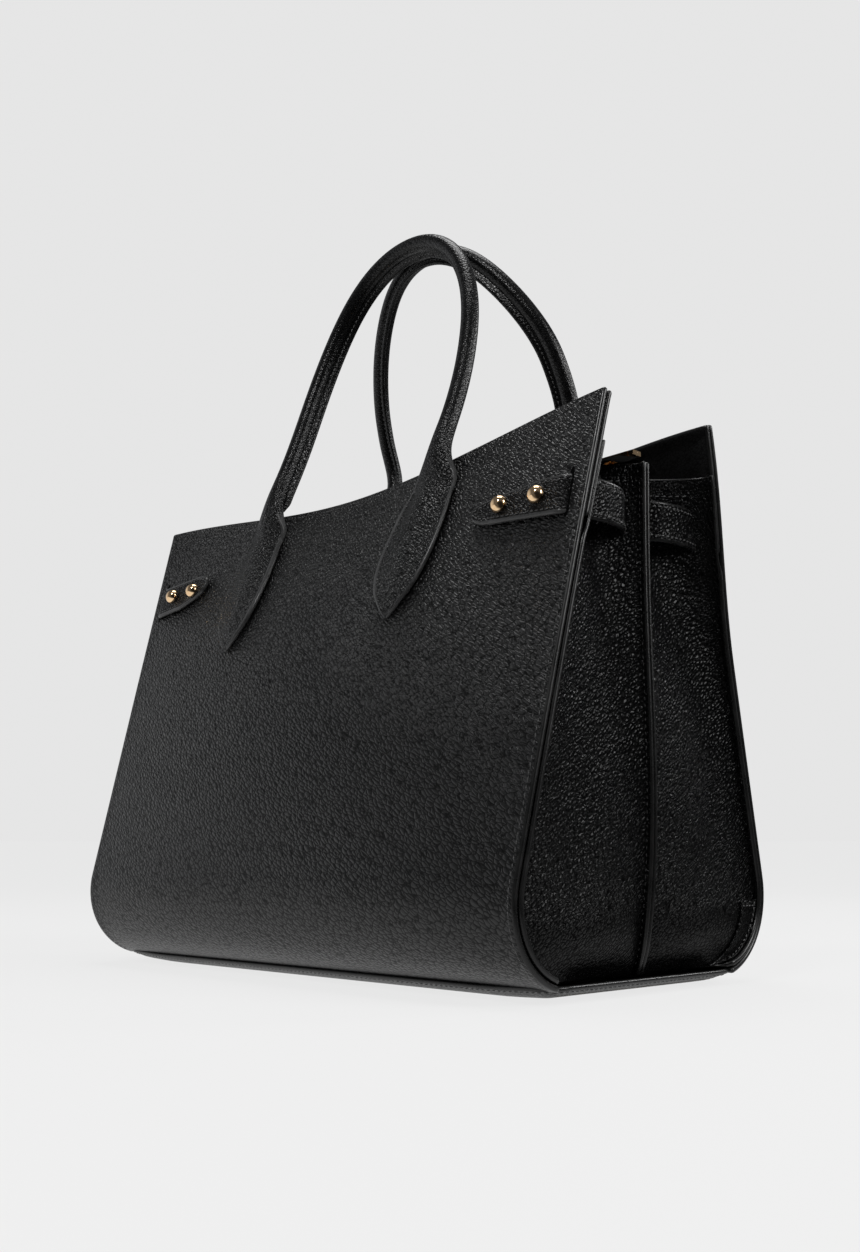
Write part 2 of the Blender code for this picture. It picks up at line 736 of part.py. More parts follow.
def make_zip():
    for place, side in SIDES.items():
        near = side * TAPE_EDGE
        far = side * (TAPE_EDGE + TAPE_WIDTH)
        tape = box_mesh((-TAPE_HALF_LENGTH, min(near, far), ZIP_HEIGHT - TAPE_THICKNESS / 2),
                        (TAPE_HALF_LENGTH, max(near, far), ZIP_HEIGHT + TAPE_THICKNESS / 2))
        add_object(place + "_zip_tape", tape, TAPE)
        comb(place + "_zip_teeth", side)
        make_zip_facing(place, side)
    for end_name, end in ENDS.items():
        near = end * (TEETH_HALF_LENGTH + GAP)
        far = near + end * STOP_LENGTH
        stop = box_mesh((min(near, far), -TOOTH_OUTER, ZIP_HEIGHT - TOOTH_HALF_HEIGHT),
                        (max(near, far), TOOTH_OUTER, ZIP_HEIGHT + TOOTH_HALF_HEIGHT))
        add_object(end_name + "_zip_stop", stop, GOLD)


def make_zip_facing(place, side):
    """The strip from a panel's facing to the zip tape, which it overlaps from above."""
    level = ZIP_HEIGHT + TAPE_THICKNESS / 2 + GAP + FACING_STRIP_THICKNESS
    wall_level = level - FACING_STRIP_DROP
    tape = TAPE_EDGE + TAPE_WIDTH
    rows = [[], [], [], []]
    for share in panel_shares()[1:-1]:
        x = share * (WING_HALF_WIDTH - FACING_STRIP_END_MARGIN) / panel_shares()[-2]
        wall = inner_depth(side, x, wall_level, WASHER_INSET)
        for row, depth, z in zip(rows, (wall, (wall + tape) / 2, tape, tape - FACING_STRIP_OVERLAP),
                                 (wall_level, (wall_level + level) / 2, level, level)):
            row.append(Vector((x, side * depth, z)))
    add_sheet(place + "_zip_facing", rows, FACING_STRIP_THICKNESS, LEATHER, flip=side > 0)


def make_slider():
    plate_foot = ZIP_HEIGHT + TOOTH_HALF_HEIGHT + GAP
    plate_top = plate_foot + SLIDER_PLATE
    low_top = ZIP_HEIGHT - TOOTH_HALF_HEIGHT - GAP
    half = SLIDER_LENGTH / 2
    top = box_mesh((-half, -SLIDER_HALF_WIDTH, plate_foot), (half, SLIDER_HALF_WIDTH, plate_top))
    slider = add_object("zip_slider", top, GOLD)
    post = box_mesh((-half * 0.7, -SLIDER_POST / 2, low_top - SLIDER_PLATE / 2),
                    (half * 0.7, SLIDER_POST / 2, plate_foot + SLIDER_PLATE / 2))
    bottom = box_mesh((-half, -SLIDER_HALF_WIDTH, low_top - SLIDER_PLATE), (half, SLIDER_HALF_WIDTH, low_top))
    bore_radius = PULLER_PIN_RADIUS + GAP
    knuckle_radius = bore_radius + KNUCKLE_WALL
    pin_height = plate_top + GAP + knuckle_radius
    pieces = [post, bottom]
    lug_half_span = PULLER_NECK / 2 + GAP
    for y in (-1, 1):
        inner = y * lug_half_span
        outer = inner + y * LUG_THICKNESS
        pieces.append(box_mesh((-LUG_RADIUS, min(inner, outer), plate_top - SLIDER_PLATE / 2),
                               (LUG_RADIUS, max(inner, outer), pin_height + LUG_RADIUS)))
    for i, mesh in enumerate(pieces):
        join_to(slider, as_cutter(add_object("slider_piece_%d" % i, mesh, None, CUTTERS)))
    across = Matrix.Rotation(math.pi / 2, 4, "X")
    reach = lug_half_span + LUG_THICKNESS / 2
    pin = grouped("slider_pin", [(cylinder_mesh(PULLER_PIN_RADIUS, -reach, reach, 12),
                                  Matrix.Translation((0, 0, pin_height)) @ across)], None, CUTTERS)
    join_to(slider, as_cutter(pin))
    for name in [piece for piece in CUTTERS.objects.keys() if piece.startswith("slider")]:
        CUTTERS.objects[name].location.x = SLIDER_PLACE
    slider.location.x = SLIDER_PLACE
    neck = PULLER_NECK / 2 - GAP
    half = PULLER_WIDTH / 2
    outline = [(0.0, neck), (PULLER_SHOULDER - half + neck, neck), (PULLER_SHOULDER, half),
               (PULLER_LENGTH - PULLER_CHAMFER, half), (PULLER_LENGTH, half - PULLER_CHAMFER)]
    outline += [(x, -y) for x, y in reversed(outline)]
    rings = [[Vector((x, y, z)) for x, y in outline] for z in (-PULLER_THICKNESS / 2, PULLER_THICKNESS / 2)]
    puller = loft("zip_puller", rings, GOLD)
    knuckle = grouped("puller_knuckle", [(cylinder_mesh(knuckle_radius, -PULLER_NECK / 2, PULLER_NECK / 2),
                                          across)], None, CUTTERS)
    bore = grouped("puller_bore", [(cylinder_mesh(bore_radius, -PULLER_NECK, PULLER_NECK), across)],
                   None, CUTTERS)
    join_to(puller, as_cutter(knuckle))
    cut(puller, as_cutter(bore))
    for item in (puller, knuckle, bore):
        item.location = (SLIDER_PLACE, 0, pin_height)


# Side straps

def strap_half(end, side):
    """Centre points and upward directions from a tab's point to the middle of the side."""
    climb = climb_to(STRAP_HEIGHT)
    edge = half_width(STRAP_HEIGHT)
    panel = edge_profile(climb)[0]
    lying = [inside_panel(side, edge - STRAP_TIP_INSET + (STRAP_TIP_INSET - STRAP_LIFT_INSET) * i / 24,
                          climb, STRAP_LAY) for i in range(25)]
    route = [(edge - inset, side * panel * share) for inset, share in STRAP_ROUTE]
    plan = curve_through([(p.x, p.y) for p in lying] + route, 400)
    along = np.concatenate([[0], np.cumsum(np.linalg.norm(np.diff(plan, axis=0), axis=1))])
    stations = [STRAP_TIP_LENGTH * share for share in (0.0, 0.12, 0.35, 0.65, 1.0)]
    stations += list(np.linspace(STRAP_TIP_LENGTH, along[-1], 18)[1:])
    half = []
    for station in stations:
        x = float(np.interp(station, along, plan[:, 0]))
        y = float(np.interp(station, along, plan[:, 1]))
        lean = (inside_panel(side, x, climb + STRAP_WIDTH / 2, STRAP_LAY)
                - inside_panel(side, x, climb - STRAP_WIDTH / 2, STRAP_LAY)).normalized()
        upright = ease((route[1][1] * side - abs(y)) / STRAP_LEAN_LENGTH)
        up = lean.lerp(Vector((0, 0, 1)), upright).normalized()
        half.append((Vector((end * x, y, lying[0].z)), Vector((end * up.x, up.y, up.z)), station))
    return half


def strap_rings(end, grow=0.0):
    """Rings of a strap, or of the slit that it threads when it is grown by a clearance."""
    front = strap_half(end, -1)
    whole = front + strap_half(end, 1)[-2::-1]
    rings = []
    for i, (centre, up, station) in enumerate(whole):
        before = whole[max(i - 1, 0)][0]
        after = whole[min(i + 1, len(whole) - 1)][0]
        out = (after - before).cross(up).normalized() * -end
        reach = min(station / STRAP_TIP_LENGTH, 1)
        share = STRAP_TIP_SHARE + (1 - STRAP_TIP_SHARE) * math.sqrt(1 - (1 - reach) ** 2)
        tall = up * (STRAP_WIDTH / 2 * share + grow)
        thick = out * (STRAP_THICKNESS / 2 + grow)
        rings.append([centre - tall - thick, centre + tall - thick, centre + tall + thick,
                      centre - tall + thick])
    return rings


def make_straps():
    for end_name, end in ENDS.items():
        strap = loft(end_name + "_side_strap", strap_rings(end), LEATHER)
        cut(strap, *[hole for side in SIDES.values() for hole in HOLES[side]])


def strap_cutter(end):
    """The strap's own shape grown by a clearance, where it threads the panels and the gusset."""
    rings = strap_rings(end, SLIT_CLEARANCE)
    edge = half_width(STRAP_HEIGHT)
    panel = edge_profile(climb_to(STRAP_HEIGHT))[0]
    free = [i for i, ring in enumerate(rings)
            if abs(ring[0].x) > edge - STRAP_ROUTE[0][0] or abs(ring[0].y) < panel / 2]
    return as_cutter(loft("strap_cutter_%d" % end, rings[min(free):max(free) + 1], None, collection=CUTTERS))


# Studs

def stud_frames(side):
    """Where each stud of a panel stands, on its tabs, pointing outwards."""
    frames = {}
    climb = climb_to(STRAP_HEIGHT)
    for end_name, end in ENDS.items():
        for place_name, inset in STUD_INSETS.items():
            x = half_width(STRAP_HEIGHT) - inset
            normal = panel_normal(side, end * x, climb)
            frames[end_name + "_" + place_name] = outward_frame(panel_point(side, end * x, climb), normal)
    return frames


def stud_holes(side):
    rod = cylinder_mesh(POST_RADIUS + GAP, -0.012, 0.012, 10)
    holes = []
    for name, frame in stud_frames(side).items():
        hole = as_cutter(add_object("stud_hole_%d_%s" % (side, name), rod, None, CUTTERS))
        hole.matrix_world = frame
        holes.append(hole)
    return holes


def make_studs():
    foot = REST_GAP + STRAP_THICKNESS + GAP
    washer_high = -WASHER_INSET
    washer_low = washer_high - WASHER_THICKNESS
    profile = [(0.0, foot + STUD_HEIGHT)]
    for i in range(1, 5):
        angle = math.pi / 2 * i / 4
        height = foot + STUD_HEIGHT - 0.9 * STUD_RADIUS * (1 - math.cos(angle))
        profile.append((STUD_RADIUS * math.sin(angle), height))
    profile += [(STUD_NECK_RADIUS, foot), (POST_RADIUS, foot), (POST_RADIUS, washer_low), (0.0, washer_low)]
    stud = turned_mesh(profile, 12)
    washer = turned_mesh([(POST_RADIUS + GAP, washer_high), (WASHER_RADIUS, washer_high),
                          (WASHER_RADIUS, washer_low), (POST_RADIUS + GAP, washer_low),
                          (POST_RADIUS + GAP, washer_high)], 12)
    for mesh in (stud, washer):
        face_outwards(mesh)
        smooth_shading(mesh)
    for place, side in SIDES.items():
        for name, frame in stud_frames(side).items():
            for kind, mesh in (("stud", stud), ("washer", washer)):
                add_object("_".join((place, name, kind)), mesh, GOLD).matrix_world = frame


# Handles and their leaves

def arch_line(side, sway, count):
    """Centre line of a handle from its right hinge over to its left hinge."""
    start = HINGE_ABOVE_ARCH_FOOT / ARCH_RISE
    hinge_depth = inner_depth(side, ARCH_HALF_SPAN, LEAF_TOP, -REST_GAP) + HANDLE_RADIUS
    fine = []
    quarter = [(0.25 * i, side * (hinge_depth - lean)) for i, lean in enumerate(sway)]
    for angle in np.linspace(0, math.pi, 600):
        rise = math.sin(angle) ** 0.59
        if rise < start:
            continue
        x = ARCH_HALF_SPAN * math.copysign(abs(math.cos(angle)) ** 0.97, math.cos(angle))
        fine.append((x, smooth_curve(quarter, rise), ARCH_FOOT + ARCH_RISE * rise))
    first = (ARCH_HALF_SPAN, smooth_curve(quarter, start), HINGE_HEIGHT)
    last = (-ARCH_HALF_SPAN, first[1], HINGE_HEIGHT)
    return [Vector(p) for p in spaced([first] + fine + [last], count)]


def arch_frames(line, towards):
    """Centre, direction along the handle, direction into the arch, and depth direction of each ring."""
    frames = []
    for i, centre in enumerate(line):
        along = (line[min(i + 1, len(line) - 1)] - line[max(i - 1, 0)]).normalized()
        if i in (0, len(line) - 1):
            along = Vector((0, 0, 1 if i == 0 else -1))
        depth = (Vector((0, towards, 0)) - along * (towards * along.y)).normalized()
        frames.append((centre, along, depth.cross(along) * towards, depth))
    return frames


def cover_rings(frames, outer):
    """Rings of a handle's cover: a round roll, outside with a seam flange on its inner side."""
    last = len(frames) - 1
    drop = Vector((0, 0, -HANDLE_LIP))
    stations = [(0, drop)] + [(i, Vector()) for i in range(last + 1)] + [(last, drop)]
    angles = [math.radians(45 + a) for a in (26, 69, 112, 155, 205, 248, 291, 334)]
    rings = []
    for i, shift in stations:
        centre, _, inward, depth = frames[i]
        centre = centre + shift
        edge = (inward + depth).normalized()
        across = (depth - inward).normalized()
        if outer:
            radius = math.sqrt(HANDLE_RADIUS ** 2 - shift.length ** 2)
            growth = ease((min(i, last - i) - 0.5) / 2)
            tip = centre + edge * (radius + FLANGE_LENGTH * growth)
            width = across * FLANGE_HALF_THICKNESS
        else:
            radius = HANDLE_BORE
            tip = centre + edge * radius
            width = across * FLANGE_HALF_THICKNESS / 2
        ring = [centre + radius * (inward * math.cos(a) + depth * math.sin(a)) for a in angles]
        rings.append(ring + [tip - width, tip + width])
    return rings


def core_rings(frames):
    """Rings of the cord core, with a round end that turns just above the neck of each leaf."""
    widest = math.asin(CORE_RADIUS / HANDLE_RADIUS)
    ends = [(-HANDLE_RADIUS * math.cos(angle), HANDLE_RADIUS * math.sin(angle))
            for angle in (widest / 4, widest * 5 / 8, widest)]
    last = len(frames) - 1
    stations = [(0, drop, radius) for drop, radius in ends]
    stations += [(i, 0.0, CORE_RADIUS) for i in range(last + 1)]
    stations += [(last, drop, radius) for drop, radius in reversed(ends)]
    rings = []
    for i, drop, radius in stations:
        centre, _, inward, depth = frames[i]
        rings.append([centre + Vector((0, 0, drop)) + radius * (inward * math.cos(a) + depth * math.sin(a))
                      for a in (math.tau * k / 8 for k in range(8))])
    return rings


def make_handles():
    for place, side in SIDES.items():
        line = arch_line(side, FRONT_SWAY if side < 0 else REAR_SWAY, HANDLE_RINGS)
        frames = arch_frames(line, -side)
        cover = pipe(place + "_handle_cover", cover_rings(frames, True), cover_rings(frames, False), LEATHER)
        core = loft(place + "_handle_core", core_rings(frames), CORD)
        for item in (cover, core):
            set_origin(item, (0, line[0].y, HINGE_HEIGHT))
        for end_name, end in ENDS.items():
            make_leaf(place, side, end_name, end, line[0])


def fold_clearance(outwards):
    """How far the top of a leaf's neck drops away so that its handle can fold down over it."""
    reach = HANDLE_RADIUS + GAP
    return max(0.0, (reach + outwards * math.sin(FOLD_LIMIT)) / math.cos(FOLD_LIMIT) - reach)


def make_leaf(place, side, end_name, end, hinge):
    """A pointed leaf on the panel whose crown rises into a round neck under the handle's hinge."""
    shape = [(HINGE_HEIGHT - drop, half, crown) for drop, half, crown in LEAF_SHAPE]
    crown = shape[-1][2]
    shape += [(LEAF_TOP - NECK_LENGTH, 0.6 * HANDLE_RADIUS + 0.4 * shape[-1][1], crown),
              (LEAF_TOP, HANDLE_RADIUS, crown), (LEAF_TOP, HANDLE_RADIUS / 6, crown)]
    rings = []
    for i, (height, half, crown) in enumerate(shape):
        middle = ARCH_HALF_SPAN - LEAF_TIP_INSET * max(0.0, 1 - i / (len(shape) - 2))
        neck = ease((height - HINGE_HEIGHT + NECK_DROP) / (NECK_DROP - HANDLE_RADIUS - GAP))
        depth = min(half, HANDLE_RADIUS)
        ring = []
        for k in range(14):
            angle = math.tau * k / 14
            x = end * middle + half * math.cos(angle)
            rise = math.sin(angle)
            z = height - neck * fold_clearance(depth * rise)
            on_leaf = inside_panel(side, x, climb_to(height), -REST_GAP - crown * max(rise, 0.0) ** 0.8)
            on_neck = Vector((x, hinge.y + side * depth * rise, z))
            p = on_leaf.lerp(on_neck, neck)
            p.y = side * max(side * p.y, inner_depth(side, p.x, p.z, -REST_GAP))
            ring.append(p)
        rings.append(ring)
    loft(place + "_" + end_name + "_handle_leaf", rings, LEATHER)


clear_scene()
BAG = new_collection("tote_bag")
CUTTERS = new_collection("cutters")
LEATHER = material("black_pebbled_leather", (0.012, 0.012, 0.013), 0.45)
BOARD = material("grey_board", (0.22, 0.20, 0.18), 0.85)
LINING = material("black_lining", (0.020, 0.020, 0.022), 0.80)
TAPE = material("black_zip_tape", (0.015, 0.015, 0.016), 0.85)
CORD = material("pale_cord", (0.55, 0.50, 0.42), 0.90)
GOLD = material("pale_gold", (0.80, 0.62, 0.36), 0.20, 1.0)

HOLES = {side: stud_holes(side) for side in SIDES.values()}
STRAP_CUTTERS = {end: strap_cutter(end) for end in ENDS.values()}
SLITS = {side: list(STRAP_CUTTERS.values()) for side in SIDES.values()}

make_panels()
make_gussets()
make_base()
make_lining()
make_zip()
make_slider()
make_straps()
make_studs()
make_handles()
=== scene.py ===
from math import asin, atan2, cos, exp, hypot, pi, radians, sin, sqrt, tau

import bpy
import numpy as np
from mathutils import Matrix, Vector


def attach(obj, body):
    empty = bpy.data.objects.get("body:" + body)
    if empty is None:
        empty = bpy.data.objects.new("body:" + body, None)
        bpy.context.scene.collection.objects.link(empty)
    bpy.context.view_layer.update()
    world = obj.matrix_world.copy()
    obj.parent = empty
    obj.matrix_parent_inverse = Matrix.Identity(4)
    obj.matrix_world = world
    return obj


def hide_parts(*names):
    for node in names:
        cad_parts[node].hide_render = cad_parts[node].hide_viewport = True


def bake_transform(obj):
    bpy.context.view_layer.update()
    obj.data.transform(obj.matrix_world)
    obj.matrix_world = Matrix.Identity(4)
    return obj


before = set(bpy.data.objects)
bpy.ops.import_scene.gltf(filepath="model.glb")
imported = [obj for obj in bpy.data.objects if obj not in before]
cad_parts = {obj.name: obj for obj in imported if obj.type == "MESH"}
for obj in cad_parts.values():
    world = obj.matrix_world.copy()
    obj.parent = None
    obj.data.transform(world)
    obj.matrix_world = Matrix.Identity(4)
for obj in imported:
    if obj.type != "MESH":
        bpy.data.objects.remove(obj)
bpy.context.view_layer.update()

# Shape of the leather panels, in metres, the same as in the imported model
WING_HALF_WIDTH = 0.181
FOOT_HALF_WIDTH = 0.168
WING_HALF_DEPTH = 0.0395
WING_HEIGHT = 0.2725
TOP_MIDDLE_HEIGHT = 0.2585
SEAM_HALF_DEPTH = 0.066
SEAM_HEIGHT = 0.0055
CURL_RADIUS = 0.038
CURL_START = radians(16)
FRONT_BELLY = ((0.02, 0.0), (0.165, 0.002), (0.404, 0.008), (0.587, 0.0102), (0.723, 0.0072),
               (0.767, 0.0044))
REAR_BELLY = ((0.02, 0.0), (0.165, 0.002), (0.404, 0.008), (0.587, 0.01), (0.723, 0.0076),
              (0.767, 0.0056))
CURL_DEPTH = SEAM_HALF_DEPTH - CURL_RADIUS * sin(CURL_START)
CURL_HEIGHT = SEAM_HEIGHT + CURL_RADIUS * cos(CURL_START)
LEAN = (asin(CURL_RADIUS / hypot(CURL_DEPTH - WING_HALF_DEPTH, WING_HEIGHT - CURL_HEIGHT))
        + atan2(CURL_DEPTH - WING_HALF_DEPTH, WING_HEIGHT - CURL_HEIGHT))
CURL_LENGTH = CURL_RADIUS * (pi / 2 + LEAN - CURL_START)
CURL_TOP = CURL_HEIGHT + CURL_RADIUS * sin(LEAN)

REAR_SPREAD = 0.0056  # how much further out the rear panel's top corners are

# Depths behind a panel's outer face
PANEL_BACK = 0.00215
FACING_FRONT = 0.0033
FACING_BACK = 0.0049
ZIP_FACING_INSET = 0.0059
LINING_INSET = 0.0074

FACING_FOOT = 0.209
SEAM_INSET = 0.004
STRAP_HEIGHT = 0.2215
STRAP_WIDTH = 0.02
STRAP_THICKNESS = 0.0026
STRAP_LAY = -0.0018
TAB_TILT = 0.078
TAB_REACH = {1: 0.0681, -1: 0.0595}
TAB_ROOT = 0.0152
SLIT_INSET = 0.0104
GUSSET_TOP = 0.2475
GUSSET_HALF = 0.0008
JOG_FOOT = 0.199
JOG_TOP = 0.207
FLANGE_WIDTH = 0.007
FIN_WIDTH = 0.0065
FIN_INSET = ((0.02, 0.0063), (0.088, 0.0036), (0.183, 0.0011), (0.367, 0.0006), (0.66, 0.0044),
             (0.908, 0.0059))
VALLEY_DEPTH = ((0.02, 0.0), (0.183, -0.001), (0.514, 0.006), (0.734, 0.013), (0.908, 0.019))
ZIP_HEIGHT = 0.252
HINGE_HEIGHT = 0.266
LEAF_TOP = 0.2607
LEAF_LIFT = 0.0005
HANDLE_RADIUS = 0.005
ARCH_FOOT = 0.26
ARCH_RISE = 0.1646
ARCH_HALF_SPAN = 0.0712
SWAY = {-1: (-0.0024, 0.0152, 0.0282, 0.0379, 0.0443),
        1: (0.0018, -0.0132, -0.0092, 0.0078, 0.0253)}
SIDES = {"front": -1, "rear": 1}
ENDS = {"right": 1, "left": -1}


def spline(points):
    """Natural cubic through (input, output) points, straight beyond its ends, for arrays."""
    xs, ys = np.array(points, float).T
    count = len(xs)
    step = np.diff(xs)
    matrix = np.eye(count)
    right = np.zeros(count)
    for i in range(1, count - 1):
        matrix[i, i - 1:i + 2] = step[i - 1], 2 * (step[i - 1] + step[i]), step[i]
        right[i] = 6 * ((ys[i + 1] - ys[i]) / step[i] - (ys[i] - ys[i - 1]) / step[i - 1])
    bend = np.linalg.solve(matrix, right)
    low = (ys[1] - ys[0]) / step[0] - step[0] * (2 * bend[0] + bend[1]) / 6
    high = (ys[-1] - ys[-2]) / step[-1] + step[-1] * (bend[-2] + 2 * bend[-1]) / 6

    def value(v):
        v = np.asarray(v, float)
        i = np.clip(np.searchsorted(xs, v) - 1, 0, count - 2)
        h = step[i]
        a = (xs[i + 1] - v) / h
        b = 1 - a
        curve = (a ** 3 - a) * bend[i] + (b ** 3 - b) * bend[i + 1]
        inner = a * ys[i] + b * ys[i + 1] + curve * h * h / 6
        inner = np.where(v < xs[0], ys[0] + low * (v - xs[0]), inner)
        return np.where(v > xs[-1], ys[-1] + high * (v - xs[-1]), inner)
    return value


BELLY = {-1: spline(FRONT_BELLY), 1: spline(REAR_BELLY)}
FIN_LINE = spline(FIN_INSET)
VALLEY = spline(VALLEY_DEPTH)


def ease(t):
    t = np.clip(t, 0.0, 1.0)
    return t * t * (3 - 2 * t)


def unit(v):
    v = np.asarray(v, float)
    return v / np.maximum(np.linalg.norm(v, axis=-1, keepdims=True), 1e-12)
def softened(points):
    """The points, each moved towards its neighbours along the first axis; the ends stay."""
    soft = points.copy()
    soft[1:-1] = 0.25 * points[:-2] + 0.5 * points[1:-1] + 0.25 * points[2:]
    return soft


def lengths_along(line):
    return np.concatenate([[0], np.cumsum(np.linalg.norm(np.diff(line, axis=0), axis=1))])


def points_along(line, along, stations):
    return np.stack([np.interp(stations, along, values) for values in line.T], axis=1)


def grid_normals(grid):
    return unit(np.cross(np.gradient(grid, axis=1), np.gradient(grid, axis=0)))

def half_width(z):
    return FOOT_HALF_WIDTH + (WING_HALF_WIDTH - FOOT_HALF_WIDTH) * z / WING_HEIGHT


def top_height(x):
    return TOP_MIDDLE_HEIGHT + (WING_HEIGHT - TOP_MIDDLE_HEIGHT) * ease(np.abs(x) / WING_HALF_WIDTH)


def climb_to(z):
    """Distance along a panel's leather from its seam up to a height."""
    return CURL_LENGTH + (z - CURL_TOP) / cos(LEAN)


def edge_profile(climb):
    """Half depth and height of a panel at its side edges."""
    climb = np.asarray(climb, float)
    angle = CURL_START + np.minimum(climb, CURL_LENGTH) / CURL_RADIUS
    rest = np.maximum(climb - CURL_LENGTH, 0)
    depth = np.where(climb < CURL_LENGTH, CURL_DEPTH + CURL_RADIUS * np.sin(angle),
                     CURL_DEPTH + CURL_RADIUS * cos(LEAN) - rest * sin(LEAN))
    z = np.where(climb < CURL_LENGTH, CURL_HEIGHT - CURL_RADIUS * np.cos(angle),
                 CURL_TOP + rest * cos(LEAN))
    return depth, z


def panel_point(side, x, climb):
    """A point on the outer face of the front (side -1) or rear (side 1) panel."""
    x, climb = np.broadcast_arrays(np.asarray(x, float), np.asarray(climb, float))
    depth, z = edge_profile(climb)
    across = 1 - np.minimum((x / half_width(z)) ** 2, 1.2)
    spread = REAR_SPREAD * ease((np.abs(x) - 0.115) / 0.066) * ease((z - 0.155) / 0.11) * (side > 0)
    y = side * (depth + BELLY[side](z / WING_HEIGHT) * across)
    return np.stack([x + np.sign(x) * spread, y, z], axis=-1)


def panel_normal(side, x, climb):
    step = 0.0005
    x, climb = np.asarray(x), np.asarray(climb)
    along = panel_point(side, x + step, climb) - panel_point(side, x - step, climb)
    up = panel_point(side, x, climb + step) - panel_point(side, x, climb - step)
    return unit(-side * np.cross(along, up))


def behind(side, x, climb, depth):
    """A point at a depth behind a panel's outer face; a negative depth is in front of it."""
    return panel_point(side, x, climb) - np.asarray(depth)[..., None] * panel_normal(side, x, climb)


def depth_at(side, x, z, inset):
    """Half depth of a layer behind the panel at a height."""
    climb = climb_to(np.asarray(z, float))
    for _ in range(4):
        point = behind(side, x, climb, inset)
        climb = climb + z - point[..., 2]
    return side * point[..., 1]


# Nodes for the materials

def new_material(name, colour, roughness, specular=0.5):
    material = bpy.data.materials.new(name)
    material.use_nodes = True
    tree = material.node_tree
    shader = tree.nodes["Principled BSDF"]
    shader.inputs["Base Color"].default_value = (*colour, 1)
    shader.inputs["Roughness"].default_value = roughness
    shader.inputs["Specular IOR Level"].default_value = specular
    return material, tree, shader


def fill(tree, made, inputs):
    """Link or set a node's inputs."""
    for key, value in inputs.items():
        if isinstance(value, bpy.types.NodeSocket):
            tree.links.new(value, made.inputs[key])
        else:
            made.inputs[key].default_value = value


def node(tree, kind, inputs, output=0, **settings):
    """A new node with these inputs and settings; gives one of its outputs."""
    made = tree.nodes.new("ShaderNode" + kind)
    for key, value in settings.items():
        setattr(made, key, value)
    fill(tree, made, inputs)
    return made.outputs[output]


def ramp(tree, factor, stops):
    made = tree.nodes.new("ShaderNodeValToRGB")
    fill(tree, made, {"Fac": factor})
    while len(made.color_ramp.elements) < len(stops):
        made.color_ramp.elements.new(0.5)
    for element, (place, value) in zip(made.color_ramp.elements, stops):
        element.position = place
        colour = value if isinstance(value, tuple) else (value, value, value)
        element.color = (*colour, 1)
    return made.outputs["Color"]


def object_coords(tree):
    return node(tree, "TexCoord", {}, "Object")


def place_nodes(tree, turn=(0, 0, 0), stretch=(1, 1, 1)):
    """Object coordinates, turned and then stretched."""
    turned = node(tree, "Mapping", {"Vector": object_coords(tree), "Rotation": turn})
    return node(tree, "Mapping", {"Vector": turned, "Scale": stretch})


def maths(tree, operation, a, b):
    return node(tree, "Math", {0: a, 1: b}, operation=operation)


def dot(tree, vector, direction):
    return node(tree, "VectorMath", {0: vector, 1: direction}, "Value", operation="DOT_PRODUCT")


def remap(tree, value, source=(0, 1), target=(0, 1), smooth=False):
    """The value moved from the source range on to the target range, eased at its ends if smooth."""
    return node(tree, "MapRange",
                {"Value": value, "From Min": source[0], "From Max": source[1],
                 "To Min": target[0], "To Max": target[1]},
                interpolation_type="SMOOTHSTEP" if smooth else "LINEAR")


def noise(tree, coords, scale, detail, output="Fac"):
    return node(tree, "TexNoise", {"Vector": coords, "Scale": scale, "Detail": detail}, output)


def wave(tree, coords, scale, distortion, axis="X"):
    return node(tree, "TexWave",
                {"Vector": coords, "Scale": scale, "Distortion": distortion}, "Fac",
                bands_direction=axis)


def finish(tree, shader, height, strength, distance, colour, rough=None):
    """Give the shader its relief, its colour and, where it varies, its roughness."""
    bump = node(tree, "Bump", {"Height": height, "Strength": strength, "Distance": distance})
    fill(tree, shader, {"Normal": bump, "Base Color": colour})
    if rough:
        fill(tree, shader, {"Roughness": rough})


